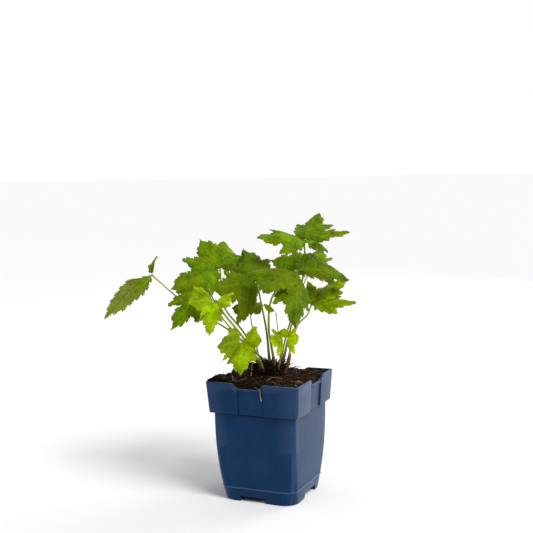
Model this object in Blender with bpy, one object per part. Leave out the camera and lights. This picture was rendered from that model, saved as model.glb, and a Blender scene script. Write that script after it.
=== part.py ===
"""A young anemone plant in a square plastic nursery pot.

Metres, +Z up. The origin is the centre of the pot's base, on the plane that the pot stands on.
The pot's sides face +X, -X, +Y and -Y, and its front is -Y.
"""

import math
from collections import namedtuple

import bpy
import bmesh
from mathutils import Vector, noise

MM = 0.001
GAP = 0.3 * MM  # clearance between pieces that touch

# Pot: driving dimensions
POT_WIDTH = 90 * MM  # across the flats, at the rim
POT_HEIGHT = 110 * MM
WALL = 1.0 * MM
COLLAR_HEIGHT = 28.5 * MM
COLLAR_DRAFT = 2.0 * MM  # how far each side of the collar leans in towards its lower edge
LEDGE = 3.4 * MM  # how far the collar stands proud of the body
BODY_DRAFT = 4.3 * MM  # how far each side of the body leans in towards its foot
BODY_CURVE = 2.2  # 1 would make the body's sides straight, more keeps them upright for longer
CORNER_CURVE = 2.6  # the same for the growth of the corner radius towards the foot
RIM_CORNER_RADIUS = 2.5 * MM
BODY_CORNER_RADIUS = 2.8 * MM
FOOT_CORNER_RADIUS = 13.5 * MM
PANEL_WIDTH = 25 * MM  # the sunk label panel on each side of the collar
PANEL_SHIFT = -1.5 * MM  # from the middle of the side to the middle of the panel
PANEL_DEPTH = 1.6 * MM
PANEL_STEP = 0.8 * MM  # run of the panel's slanted sides
LIP_DIP = 4.8 * MM  # how far the rim drops at a panel
LIP_LONG_RUN = 8.0 * MM  # length of the rim's slope down at a panel's low end
LIP_SHORT_RUN = 3.2 * MM  # and at its high end
LIP_STEPS = 4
FOOT_HEIGHT = 5.0 * MM  # the floor is raised on its skirt by this much
NOTCH_WIDTH = 25.5 * MM  # drainage notch on each side of the skirt
NOTCH_SHIFT = -4.0 * MM  # from the middle of the side to the middle of the notch
NOTCH_SLOPE = 1.0 * MM
RIB_SETBACK = 4.0 * MM  # rib behind each notch, measured in from the skirt
RIB_LOW_END = -20 * MM
RIB_HIGH_END = 2.5 * MM
RIB_CLEARANCE = 0.6 * MM  # between the rib's lower edge and the ground
PAD_RADIUS = 8 * MM  # flat pad in the middle of the underside
HOLE_RADIUS = 3.5 * MM
HOLE_PLACES = 16.5 * MM  # of the four corner holes, along X and along Y from the centre
LEAST_CORNER_RADIUS = 0.6 * MM
LEAST_MARK_GAP = 0.05 * MM  # points of an outline closer than this count as one
CORNER_SEGMENTS = 5

# Soil and crown
SOIL_DROP = 1.5 * MM  # from the rim down to the soil at the walls
SOIL_MOUND = 2.5 * MM  # how far the middle of the soil rises above the rim
SOIL_BUMP = 0.5 * MM
CROWN_RADIUS = 19.5 * MM
CROWN_HEIGHT = 11 * MM
CROWN_EDGE = 2.0 * MM
CROWN_MARGIN = 1.0 * MM  # that a stalk keeps from the crown's edge

# Plant
PLANT_HEIGHT_ABOVE_RIM = 8 * MM  # level that the leaf positions below are measured from
BLADE_THICKNESS = 0.5 * MM
PETIOLE_SIDES_LEVEL = 1
PETIOLE_TIP_SHARE = 0.75  # a petiole's radius at its leaf, as a share of that at its foot
PETIOLE_POINTS_PER_SPAN = 5
PETIOLE_CLEARANCE = 1.0 * MM  # from the crown up to a petiole's foot
HUB_CLEARANCE = 1.4 * MM  # from the leaf's hub back to its petiole's end
BLADE_START = 3.0 * MM  # from the leaf's hub out to a blade's base

# One leaflet. Angles are in degrees: heading turns from +X to +Y, pitch is up, roll lifts the left edge,
# droop is the arch along the midrib, and fold lifts both halves above the midrib.
# Lengths and half-widths are in millimetres. skew pushes the left half towards the tip.
Blade = namedtuple("Blade", "name heading pitch roll length left right droop fold skew shape")
# One leaf: where its petiole leaves the crown, the points that it passes, its hub and its leaflets, in
# millimetres from the pot's axis and from the level PLANT_HEIGHT_ABOVE_RIM above the rim.
Leaf = namedtuple("Leaf", "name foot via hub radius blades")

LEAVES = [
    Leaf("far_left", (-4, -4), [(-34, -12, 33), (-74, -22, 58)], (-107, -27, 85), 0.9, [
        Blade("outer", -168, -41, 50, 64, 11, 11, 50, -12, 0, "ovate"),
        Blade("upper", 102, 42, -45, 24, 6, 7, 20, 20, 0, "ovate"),
        Blade("inner", -112, -36, -30, 25, 4, 5, 40, 15, 0, "ovate"),
    ]),
    Leaf("upper_left", (-9, 1), [(-27, -1, 32), (-46, -2, 56)], (-50, 2, 88), 1.0, [
        Blade("outer", -140, -18, -58, 50, 21, 22, 25, -10, 0.2, "lobed"),
        Blade("back", 152, 40, -40, 43, 14, 15, 20, -8, 0, "lobed"),
        Blade("inner", 111, 30, 10, 47, 20, 21, 25, -8, 0, "lobed"),
    ]),
    Leaf("centre", (0, -2), [(-2, -3, 34), (-5, -7, 60)], (-8, -8, 78), 1.1, [
        Blade("front", -137, -3, -62, 43, 29, 13, 25, -10, -0.1, "lobed"),
        Blade("upper", 132, 35, -20, 49, 16, 18, 25, -12, 0, "lobed"),
        Blade("under", 153, -33, 0, 34, 12, 12, 30, -20, 0, "ovate"),
    ]),
    Leaf("right", (6, -5), [(3, -9, 40), (9, -11, 68)], (30, -7, 90), 1.1, [
        Blade("inner", -112, -20, -35, 45, 13, 30, 35, -18, -0.2, "lobed"),
        Blade("outer", 33, -12, 45, 50, 22, 9, 60, -12, -0.5, "lobed"),
        Blade("front", -70, -51, -25, 59, 13, 18, 30, -22, 0, "lobed"),
    ]),
    Leaf("top", (10, 6), [(17, 16, 44), (24, 28, 87)], (23, 32, 114), 1.1, [
        Blade("outer", -131, 6, -30, 49, 18, 14, 40, -14, 0, "lobed"),
        Blade("back", 89, 32, 0, 46, 16, 15, 30, -12, 0, "lobed"),
        Blade("right", 1, 10, 20, 45, 12, 10, 40, -12, 0, "lobed"),
        Blade("front", -39, -12, 0, 43, 5, 7, 45, -15, 0, "ovate"),
    ]),
    Leaf("low_right", (15, 3), [(24, 6, 36), (34, 8, 48)], (38, 8, 57), 0.9, [
        Blade("outer", 4, 6, 30, 42, 10, 12, 20, -8, 0, "lobed"),
        Blade("back", 55, 29, 5, 45, 19, 14, 25, -6, 0, "lobed"),
        Blade("inner", 120, 47, -40, 28, 8, 8, 25, -30, 0, "ovate"),
    ]),
    Leaf("yellow", (-4, -12), [(-14, -28, 31), (-24, -42, 52)], (-30, -50, 67), 1.2, [
        Blade("outer", -127, 0, -60, 26, 12, 14, 20, -8, 0, "lobed"),
        Blade("front", -79, -51, 0, 36, 8, 10, 25, -8, 0, "ovate"),
        Blade("inner", -10, -14, 50, 17, 12, 6, 20, -10, 0, "lobed"),
    ]),
    Leaf("lower_left", (-10, -6), [(-24, -15, 28), (-38, -22, 48)], (-48, -27, 74), 0.8, [
        Blade("outer", -132, -42, -30, 51, 14, 20, 25, -8, 0, "lobed"),
        Blade("back", 165, -55, -10, 25, 9, 9, 25, -8, 0, "lobed"),
    ]),
    Leaf("rim", (0, -16), [(-1, -29, 19)], (-7, -44, 31), 0.8, [
        Blade("front", -72, -48, 15, 35, 12, 12, 25, -8, 0, "lobed"),
        Blade("outer", -136, -8, -55, 24, 12, 14, 20, -8, 0.5, "lobed"),
        Blade("inner", -8, 5, 70, 20, 12, 12, 20, -8, 0, "lobed"),
    ]),
    Leaf("small", (12, -9), [(18, -15, 17)], (24, -22, 29), 0.7, [
        Blade("outer", -122, 8, -60, 16, 12, 10, 20, -8, 0, "lobed"),
        Blade("upper", 120, 60, 0, 12, 8, 8, 20, -8, 0, "lobed"),
        Blade("inner", -6, 16, 60, 15, 9, 12, 20, -8, 0, "lobed"),
    ]),
    Leaf("under", (-12, 4), [(-17, 3, 27), (-20, 3, 42)], (-20, 2, 50), 0.7, [
        Blade("outer", -150, 14, -50, 18, 9, 8, 20, -10, 0, "lobed"),
        Blade("inner", 8, 27, 40, 14, 8, 8, 20, -10, 0, "ovate"),
    ]),
    Leaf("bud", (11, -2), [(13, -9, 27), (14, -14, 38)], (16, -22, 53), 0.6, [
        Blade("curl", -150, 40, -30, 14, 5, 5, 60, -30, 0, "ovate"),
    ]),
    Leaf("back", (4, 14), [(6, 31, 32), (9, 52, 60)], (13, 73, 84), 0.9, [
        Blade("outer", 172, 8, -50, 46, 15, 15, 30, -10, 0, "lobed"),
        Blade("inner", 57, -10, -10, 32, 14, 14, 30, -10, 0, "lobed"),
        Blade("upper", 95, 25, 0, 36, 16, 16, 40, -10, 0, "lobed"),
    ]),
]

# A leaflet's half-width at stations along its midrib: (share of the length, share of the half-width)
SHAPES = {
    "ovate": [
        (0.0, 0.05), (0.07, 0.24), (0.15, 0.60), (0.28, 0.90), (0.42, 1.0),
        (0.56, 0.93), (0.70, 0.72), (0.82, 0.48), (0.92, 0.24), (1.0, 0.04),
    ],
    "lobed": [
        (0.0, 0.05), (0.07, 0.22), (0.15, 0.56), (0.27, 0.86), (0.40, 0.97), (0.52, 1.0),
        (0.62, 0.97), (0.67, 0.70), (0.75, 0.62), (0.85, 0.44), (0.93, 0.20), (1.0, 0.03),
    ],
}

# Broken old stem in the crown: foot and head, in millimetres as in LEAVES
STUB_FOOT = (17, -7)
STUB_HEAD = (24, -9, 15)
STUB_RADIUS = 1.3 * MM
STUB_SIDES = 8


def clear_scene():
    for item in list(bpy.data.objects):
        bpy.data.objects.remove(item)


def material(name, color, roughness):
    made = bpy.data.materials.new(name)
    made.use_nodes = True
    shader = made.node_tree.nodes["Principled BSDF"]
    shader.inputs["Base Color"].default_value = (*color, 1.0)
    shader.inputs["Roughness"].default_value = roughness
    shader.inputs["Metallic"].default_value = 0.0
    return made


def mesh_object(name, points, faces, finish, smooth_angle=40):
    mesh = bpy.data.meshes.new(name)
    mesh.from_pydata([tuple(p) for p in points], [], faces)
    work = bmesh.new()
    work.from_mesh(mesh)
    bmesh.ops.recalc_face_normals(work, faces=work.faces)
    work.to_mesh(mesh)
    work.free()
    mesh.shade_smooth()
    mesh.set_sharp_from_angle(angle=math.radians(smooth_angle))
    mesh.materials.append(finish)
    made = bpy.data.objects.new(name, mesh)
    bpy.context.collection.objects.link(made)
    return made


# ---------------------------------------------------------------- pot

def between(a, b, share):
    return a + (b - a) * share


def pot_half_width(z):
    """Half the pot's outer width at height z, on the body or on the collar."""
    collar_low = POT_HEIGHT - COLLAR_HEIGHT
    rim = POT_WIDTH / 2
    if z > collar_low:
        return rim - COLLAR_DRAFT * (POT_HEIGHT - z) / COLLAR_HEIGHT
    body_top = rim - COLLAR_DRAFT - LEDGE
    drop = 1 - z / collar_low
    return body_top - BODY_DRAFT * drop ** BODY_CURVE


def pot_corner_radius(z):
    collar_low = POT_HEIGHT - COLLAR_HEIGHT
    if z > collar_low:
        return RIM_CORNER_RADIUS
    return between(BODY_CORNER_RADIUS, FOOT_CORNER_RADIUS, (1 - z / collar_low) ** CORNER_CURVE)


def span(width, shift):
    """Where a feature of a side begins and ends, measured from the side's middle."""
    return shift - width / 2, shift + width / 2


def is_within(along, ends):
    return along is not None and ends[0] - LEAST_MARK_GAP <= along <= ends[1] + LEAST_MARK_GAP


def side_marks():
    """Places along one side, from its middle, where the outline has a point: panel and notch edges."""
    panel_low, panel_high = span(PANEL_WIDTH, PANEL_SHIFT)
    notch_low, notch_high = span(NOTCH_WIDTH, NOTCH_SHIFT)
    marks = [panel_low - PANEL_STEP, panel_low, PANEL_SHIFT, panel_high, panel_high + PANEL_STEP]
    marks += [notch_low - NOTCH_SLOPE, notch_low, notch_high, notch_high + NOTCH_SLOPE]
    marks += [RIB_LOW_END, RIB_LOW_END + NOTCH_SLOPE, RIB_HIGH_END - NOTCH_SLOPE, RIB_HIGH_END]
    for step in range(LIP_STEPS):
        marks.append(panel_low + LIP_LONG_RUN * (0.25 - step / LIP_STEPS))
        marks.append(panel_high - LIP_SHORT_RUN * step / LIP_STEPS)
    apart = []
    for mark in sorted(marks):
        if not apart or mark - apart[-1] > LEAST_MARK_GAP:
            apart.append(mark)
    return apart


def panel_depth(along, sunk):
    """How far a side lies in at a place along it, on its label panel or on the panel's slanted sides."""
    low, high = span(PANEL_WIDTH, PANEL_SHIFT)
    if is_within(along, (low, high)):
        return sunk
    out_by = max(low - along, along - high)
    return sunk * max(0.0, 1 - out_by / PANEL_STEP)


def outline(half, radius, inset, sunk, height):
    """One closed ring of the pot. inset moves it inwards, sunk is the depth of the label panels,
    and height(along) is a point's level from its place along its side (None on the corners).
    Every second side is the mirror image of its neighbours."""
    reach = half - inset
    corner = max(radius - inset, LEAST_CORNER_RADIUS)
    ring = []
    for side in range(4):
        turn = side * math.pi / 2
        cos_turn = math.cos(turn)
        sin_turn = math.sin(turn)

        def place(along, out, level):
            # side 0 faces -Y, and along runs towards +X
            x, y = along, -out
            ring.append(Vector((x * cos_turn - y * sin_turn, x * sin_turn + y * cos_turn, level)))

        facing = 1 if side % 2 == 0 else -1
        for along in side_marks()[::facing]:
            place(along * facing, reach - panel_depth(along, sunk), height(along))
        for step in range(CORNER_SEGMENTS + 1):
            angle = math.pi / 2 * step / CORNER_SEGMENTS
            along = reach - corner + corner * math.sin(angle)
            out = reach - corner + corner * math.cos(angle)
            place(along, out, height(None))
    return ring


def level(z):
    return lambda along: z


def eased(share):
    share = max(0.0, min(1.0, share))
    return share * share * (3 - 2 * share)


def rim_level(top):
    """The rim's height along a side: it dips across the label panel, gently at one end of it."""
    low, high = span(PANEL_WIDTH, PANEL_SHIFT)
    slope_start = low - 0.75 * LIP_LONG_RUN

    def height(along):
        if along is None:
            return top
        down = eased((along - slope_start) / LIP_LONG_RUN)
        return top - LIP_DIP * down * eased((high - along) / LIP_SHORT_RUN)
    return height


def skirt_level(along):
    """The skirt's lower edge: on the ground at the feet, raised at the notches."""
    if is_within(along, span(NOTCH_WIDTH, NOTCH_SHIFT)):
        return FOOT_HEIGHT - GAP
    return 0.0


def rib_level(along):
    if is_within(along, (RIB_LOW_END + NOTCH_SLOPE, RIB_HIGH_END - NOTCH_SLOPE)):
        return RIB_CLEARANCE
    return FOOT_HEIGHT


def circle_ring(like, radius, z):
    """A round ring with a point for each point of another ring, in the same directions."""
    ring = []
    for point in like:
        flat = Vector((point.x, point.y, 0)).normalized() * radius
        ring.append(Vector((flat.x, flat.y, z)))
    return ring


def loft(rings, close_first=False, close_last=False):
    """Faces between rings of the same length, with a fan to a centre point at either end."""
    count = len(rings[0])
    points = [p for ring in rings for p in ring]
    faces = []
    for row in range(len(rings) - 1):
        for i in range(count):
            j = (i + 1) % count
            a, b = row * count, (row + 1) * count
            faces.append((a + i, a + j, b + j))
            faces.append((a + i, b + j, b + i))
    if close_first:
        points.append(sum(rings[0], Vector()) / count)
        faces += [(len(points) - 1, (i + 1) % count, i) for i in range(count)]
    if close_last:
        points.append(sum(rings[-1], Vector()) / count)
        start = (len(rings) - 1) * count
        faces += [(len(points) - 1, start + i, start + (i + 1) % count) for i in range(count)]
    return points, faces


def inner_levels():
    """Heights and insets of the pot's inside, from the rim down to its floor."""
    collar_low = POT_HEIGHT - COLLAR_HEIGHT
    floor_top = FOOT_HEIGHT + WALL
    body = [between(floor_top, collar_low, share) for share in (0.75, 0.5, 0.25, 0.0)]
    return collar_low, body


def pot_ring(z, inset, sunk=0.0, height=None, at=None):
    at = z if at is None else at
    return outline(pot_half_width(at), pot_corner_radius(at), inset, sunk, height or level(z))


def build_pot(finish):
    collar_low, inner_body = inner_levels()
    floor_top = FOOT_HEIGHT + WALL
    skirt_half = pot_half_width(0)
    skirt_radius = pot_corner_radius(0)
    rib_outside = WALL + RIB_SETBACK
    rings = []
    # underside, from the pad outwards
    rib_inner_top = outline(skirt_half, skirt_radius, rib_outside + WALL, 0, level(FOOT_HEIGHT))
    rings.append(circle_ring(rib_inner_top, PAD_RADIUS, 0.0))
    rings.append(circle_ring(rib_inner_top, PAD_RADIUS, FOOT_HEIGHT))
    rings.append(rib_inner_top)
    rings.append(outline(skirt_half, skirt_radius, rib_outside + WALL, 0, rib_level))
    rings.append(outline(skirt_half, skirt_radius, rib_outside, 0, rib_level))
    rings.append(outline(skirt_half, skirt_radius, rib_outside, 0, level(FOOT_HEIGHT)))
    rings.append(outline(skirt_half, skirt_radius, WALL, 0, level(FOOT_HEIGHT)))
    rings.append(outline(skirt_half, skirt_radius, WALL, 0, skirt_level))
    # outside, from the ground up
    rings.append(outline(skirt_half, skirt_radius, 0, 0, skirt_level))
    rings.append(pot_ring(FOOT_HEIGHT + WALL, 0))
    for share in (0.15, 0.3, 0.45, 0.6, 0.8, 1.0):
        rings.append(pot_ring(between(floor_top, collar_low, share), 0))
    rings.append(pot_ring(collar_low, 0, PANEL_DEPTH, at=collar_low + 1e-6))
    rings.append(pot_ring(POT_HEIGHT, 0, PANEL_DEPTH, rim_level(POT_HEIGHT)))
    # inside, from the rim down
    rings.append(pot_ring(POT_HEIGHT, WALL, PANEL_DEPTH, rim_level(POT_HEIGHT)))
    rings.append(pot_ring(collar_low + WALL, WALL, PANEL_DEPTH))
    rings.append(pot_ring(collar_low + WALL, WALL, at=collar_low))
    for z in inner_body:
        rings.append(pot_ring(z, WALL))
    points, faces = loft(rings, close_first=True, close_last=True)
    pot = mesh_object("pot", points, faces, finish)
    cut_holes(pot)
    return pot


def cut_holes(pot):
    """Drainage holes through the raised floor, one towards each corner."""
    work = bmesh.new()
    for x in (-HOLE_PLACES, HOLE_PLACES):
        for y in (-HOLE_PLACES, HOLE_PLACES):
            before = set(work.verts)
            bmesh.ops.create_cone(
                work, cap_ends=True, segments=12, radius1=HOLE_RADIUS, radius2=HOLE_RADIUS, depth=WALL * 4
            )
            new = [v for v in work.verts if v not in before]
            bmesh.ops.translate(work, verts=new, vec=(x, y, FOOT_HEIGHT + WALL / 2))
    mesh = bpy.data.meshes.new("hole_cutter")
    work.to_mesh(mesh)
    work.free()
    cutter = bpy.data.objects.new("hole_cutter", mesh)
    bpy.context.collection.objects.link(cutter)
    cutter.hide_render = True
    cutter.display_type = "WIRE"
    cut = pot.modifiers.new("drain_holes", "BOOLEAN")
    cut.operation = "DIFFERENCE"
    cut.solver = "EXACT"
    cut.object = cutter


# ---------------------------------------------------------------- soil and crown

def plateau():
    """Level of the flat middle of the soil, which the crown sits on."""
    return POT_HEIGHT + SOIL_MOUND


def soil_level(x, y):
    edge = POT_HEIGHT - SOIL_DROP
    away = math.hypot(x, y)
    flat = CROWN_RADIUS + 2 * MM
    if away <= flat:
        return plateau()
    fall = min(1.0, (away - flat) / (POT_WIDTH * 0.46 - flat))
    smooth = fall * fall * (3 - 2 * fall)
    bump = noise.noise(Vector((x, y, 0)) / (7 * MM)) * SOIL_BUMP * min(1.0, 4 * fall)
    return between(plateau(), edge, smooth) + bump


def build_soil(finish):
    collar_low, inner_body = inner_levels()
    inset = WALL + GAP
    rings = []
    for z in reversed(inner_body[:-1]):
        rings.append(pot_ring(z, inset))
    rings.insert(0, pot_ring(FOOT_HEIGHT + WALL + GAP, inset))
    rings.append(pot_ring(collar_low + WALL + GAP, inset, at=collar_low))
    rings.append(pot_ring(collar_low + WALL + GAP, inset, PANEL_DEPTH))
    edge = POT_HEIGHT - SOIL_DROP
    rings.append(pot_ring(edge, inset, PANEL_DEPTH, rim_level(edge)))
    top = rings[-1]
    shares = (0.93, 0.84, 0.74, 0.64, 0.54)
    for share in shares:
        rings.append([Vector((p.x * share, p.y * share, soil_level(p.x * share, p.y * share))) for p in top])
    rings.append(circle_ring(top, CROWN_RADIUS + 1 * MM, plateau()))
    points, faces = loft(rings, close_first=True, close_last=True)
    return mesh_object("soil", points, faces, finish, smooth_angle=60)


def crown_level(x, y):
    """Top of the crown above a place on the soil's plateau."""
    share = min(1.0, math.hypot(x, y) / CROWN_RADIUS)
    return plateau() + GAP + CROWN_EDGE + (CROWN_HEIGHT - CROWN_EDGE) * (1 - share ** 2)


def build_crown(finish):
    sides = 28
    rings = [[]]
    base = plateau() + GAP
    for i in range(sides):
        angle = math.tau * i / sides
        rings[0].append(Vector((CROWN_RADIUS * math.cos(angle), CROWN_RADIUS * math.sin(angle), base)))
    for share in (1.0, 0.85, 0.65, 0.4, 0.15):
        ring = []
        for p in rings[0]:
            ring.append(Vector((p.x * share, p.y * share, crown_level(p.x * share, p.y * share))))
        rings.append(ring)
    points, faces = loft(rings, close_first=True, close_last=True)
    return mesh_object("crown", points, faces, finish)


# ---------------------------------------------------------------- plant

def plant_point(place):
    """A point given in millimetres as in LEAVES, in metres in the part's frame."""
    x, y, z = place
    return Vector((x * MM, y * MM, z * MM + POT_HEIGHT + PLANT_HEIGHT_ABOVE_RIM))


def foot_point(foot, clearance):
    """A point just above the crown, over a place in millimetres, which is kept on the crown."""
    place = Vector((foot[0] * MM, foot[1] * MM, 0))
    if place.length > CROWN_RADIUS - CROWN_MARGIN:
        place = place.normalized() * (CROWN_RADIUS - CROWN_MARGIN)
    place.z = crown_level(place.x, place.y) + clearance
    return place


def smooth_route(route, per_span):
    """A Catmull-Rom curve through the route's points."""
    ends = [2 * route[0] - route[1]] + route + [2 * route[-1] - route[-2]]
    line = []
    for i in range(1, len(ends) - 2):
        a, b, c, d = ends[i - 1:i + 3]
        for k in range(per_span):
            t = k / per_span
            line.append(
                0.5 * (2 * b + (c - a) * t + (2 * a - 5 * b + 4 * c - d) * t ** 2
                       + (3 * b - a - 3 * c + d) * t ** 3)
            )
    line.append(route[-1].copy())
    return line


def build_petiole(leaf, finish):
    route = [foot_point(leaf.foot, PETIOLE_CLEARANCE)]
    route += [plant_point(p) for p in leaf.via]
    route.append(plant_point(leaf.hub))
    line = smooth_route(route, PETIOLE_POINTS_PER_SPAN)
    line[-1] = line[-1] + (line[-2] - line[-1]).normalized() * HUB_CLEARANCE
    curve = bpy.data.curves.new(leaf.name + "_petiole", "CURVE")
    curve.dimensions = "3D"
    curve.bevel_depth = leaf.radius * MM
    curve.bevel_resolution = PETIOLE_SIDES_LEVEL
    curve.use_fill_caps = True
    spline = curve.splines.new("POLY")
    spline.points.add(len(line) - 1)
    for i, (point, place) in enumerate(zip(spline.points, line)):
        point.co = (*place, 1.0)
        point.radius = between(1.0, PETIOLE_TIP_SHARE, i / (len(line) - 1))
    curve.materials.append(finish)
    made = bpy.data.objects.new(leaf.name + "_petiole", curve)
    bpy.context.collection.objects.link(made)
    return made


def blade_axes(blade):
    """Directions along the chord from base to tip, to the left, and up out of the top face."""
    heading, pitch, roll = (math.radians(a) for a in (blade.heading, blade.pitch, blade.roll))
    along = Vector((math.cos(pitch) * math.cos(heading), math.cos(pitch) * math.sin(heading), math.sin(pitch)))
    flat_up = Vector((-math.sin(pitch) * math.cos(heading), -math.sin(pitch) * math.sin(heading), math.cos(pitch)))
    flat_left = flat_up.cross(along)
    up = flat_up * math.cos(roll) - flat_left * math.sin(roll)
    return along, up.cross(along), up


def blade_point(blade, hub, share, side, lift):
    """A point of a leaflet: share runs along the midrib, side from -1 (right edge) to 1 (left edge)
    in units of the half-width, and lift is the height above the mid-surface, in metres."""
    along, left, up = blade_axes(blade)
    arch = math.radians(max(blade.droop, 1))
    radius = blade.length * MM / (2 * math.sin(arch / 2))
    out = side * (blade.left if side > 0 else blade.right) * MM
    slide = blade.skew * out
    angle = arch * (share - 0.5)
    run = radius * (math.sin(angle) + math.sin(arch / 2)) + slide
    rise = radius * (math.cos(angle) - math.cos(arch / 2))
    local_up = up * math.cos(angle) + along * math.sin(angle)
    fold = math.radians(blade.fold)
    point = hub + along * run + up * rise
    point += left * (out * math.cos(fold)) + local_up * (abs(out) * math.sin(fold))
    return point + local_up * lift


def build_blade(leaf, blade, finish):
    hub = plant_point(leaf.hub)
    start = BLADE_START / (blade.length * MM)
    half = BLADE_THICKNESS / 2
    stations = [(between(start, 1.0, share), width) for share, width in SHAPES[blade.shape]]
    top, bottom = [], []
    for share, width in stations:
        top.append([blade_point(blade, hub, share, side * width, half) for side in (-1, 0, 1)])
        bottom.append([blade_point(blade, hub, share, side * width, -half) for side in (-1, 0, 1)])
    # each station's ring runs over the top face and back under it
    rings = [t + b[::-1] for t, b in zip(top, bottom)]
    points, faces = loft(rings)
    last = (len(rings) - 1) * 6
    for first, flip in ((0, False), (last, True)):
        for a, b, c, d in ((0, 1, 4, 5), (1, 2, 3, 4)):
            for corners in ((a, b, c), (a, c, d)):
                corners = corners[::-1] if flip else corners
                faces.append(tuple(first + k for k in corners))
    return mesh_object(leaf.name + "_leaflet_" + blade.name, points, faces, finish)


def build_stub(finish):
    foot = foot_point(STUB_FOOT, PETIOLE_CLEARANCE)
    head = plant_point(STUB_HEAD)
    axis = (head - foot).normalized()
    across = axis.orthogonal().normalized()
    other = axis.cross(across)
    rings = []
    for share, size in ((0.0, 1.15), (0.5, 0.95), (1.0, 0.85)):
        ring = []
        for i in range(STUB_SIDES):
            angle = math.tau * i / STUB_SIDES
            reach = across * math.cos(angle) + other * math.sin(angle)
            ragged = 0.8 * MM * math.sin(3 * angle) * share
            ring.append(foot + (head - foot) * share + reach * STUB_RADIUS * size + axis * ragged)
        rings.append(ring)
    points, faces = loft(rings, close_first=True, close_last=True)
    return mesh_object("old_stem_stub", points, faces, finish)


def main():
    clear_scene()
    plastic = material("pot_blue", (0.012, 0.045, 0.11), 0.4)
    earth = material("soil", (0.02, 0.012, 0.008), 0.95)
    fibre = material("crown_brown", (0.03, 0.02, 0.012), 0.9)
    stalk = material("petiole_green", (0.16, 0.24, 0.04), 0.5)
    green = material("leaf_green", (0.10, 0.26, 0.01), 0.5)
    wood = material("dry_stem", (0.12, 0.07, 0.03), 0.8)
    build_pot(plastic)
    build_soil(earth)
    build_crown(fibre)
    build_stub(wood)
    for leaf in LEAVES:
        build_petiole(leaf, stalk)
        for blade in leaf.blades:
            build_blade(leaf, blade, green)


main()
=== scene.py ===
"""Looks of a young anemone in a square plastic nursery pot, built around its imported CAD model.

Metres, +Z up, in the frame of the CAD model: the origin is the centre of the pot's base, -Y is its front.
"""

import math
import random
from collections import namedtuple

import bpy
import bmesh
from mathutils import Matrix, Vector, noise


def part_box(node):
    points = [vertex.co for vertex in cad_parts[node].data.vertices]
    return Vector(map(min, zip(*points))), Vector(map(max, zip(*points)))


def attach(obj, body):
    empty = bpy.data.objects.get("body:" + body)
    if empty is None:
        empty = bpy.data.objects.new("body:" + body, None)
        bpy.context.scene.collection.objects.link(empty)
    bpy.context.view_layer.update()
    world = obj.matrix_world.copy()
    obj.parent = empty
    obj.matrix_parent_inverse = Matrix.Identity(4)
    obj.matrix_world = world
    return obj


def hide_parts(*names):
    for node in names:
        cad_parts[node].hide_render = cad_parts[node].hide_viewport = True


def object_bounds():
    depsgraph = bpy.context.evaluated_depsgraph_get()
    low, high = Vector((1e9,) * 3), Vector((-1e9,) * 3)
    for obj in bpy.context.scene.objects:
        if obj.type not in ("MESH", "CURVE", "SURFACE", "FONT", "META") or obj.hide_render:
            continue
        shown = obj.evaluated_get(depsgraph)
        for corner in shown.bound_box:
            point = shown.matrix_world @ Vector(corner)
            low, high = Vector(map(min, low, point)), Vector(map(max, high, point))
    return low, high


MM = 0.001

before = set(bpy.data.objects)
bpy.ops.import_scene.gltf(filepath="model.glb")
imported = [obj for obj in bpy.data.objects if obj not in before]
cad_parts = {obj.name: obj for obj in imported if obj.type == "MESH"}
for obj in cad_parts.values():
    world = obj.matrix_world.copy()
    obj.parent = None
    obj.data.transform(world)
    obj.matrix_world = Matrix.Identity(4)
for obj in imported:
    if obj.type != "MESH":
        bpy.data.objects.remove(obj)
cad_low, cad_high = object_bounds()

# Pot, as in the CAD model
POT_LOW, POT_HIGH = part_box("pot")
POT_WIDTH = POT_HIGH.x - POT_LOW.x
POT_HEIGHT = POT_HIGH.z
WALL = 1.0 * MM
COLLAR_HEIGHT = 28.5 * MM
COLLAR_DRAFT = 2.0 * MM
LEDGE = 3.4 * MM
BODY_DRAFT = 4.3 * MM
BODY_CURVE = 2.2
CORNER_CURVE = 2.6
RIM_CORNER_RADIUS = 2.5 * MM
BODY_CORNER_RADIUS = 2.8 * MM
FOOT_CORNER_RADIUS = 13.5 * MM
PANEL_WIDTH = 25 * MM
PANEL_SHIFT = -1.5 * MM
PANEL_DEPTH = 1.6 * MM
PANEL_STEP = 0.8 * MM
LIP_DIP = 4.8 * MM
LIP_LONG_RUN = 8.0 * MM
LIP_SHORT_RUN = 3.2 * MM
LIP_STEPS = 8
FOOT_HEIGHT = 5.0 * MM
NOTCH_WIDTH = 25.5 * MM
NOTCH_SHIFT = -4.0 * MM
NOTCH_SLOPE = 1.0 * MM
RIB_SETBACK = 4.0 * MM
RIB_LOW_END = -20 * MM
RIB_HIGH_END = 2.5 * MM
RIB_CLEARANCE = 0.6 * MM
PAD_RADIUS = 8 * MM
HOLE_RADIUS = 3.5 * MM
HOLE_PLACES = 16.5 * MM
COLLAR_LOW = POT_HEIGHT - COLLAR_HEIGHT
FLOOR_TOP = FOOT_HEIGHT + WALL

# The outlines that the pot is made of
CORNER_SEGMENTS = 10
LEAST_CORNER = 0.6 * MM
LEAST_MARK_GAP = 0.05 * MM  # between two points of a side's outline
LIP_OVERLAP = 0.25  # the share of the lip's long slope that lies over the panel
NOTCH_GAP = 0.3 * MM  # between a notch's top and the floor

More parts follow.
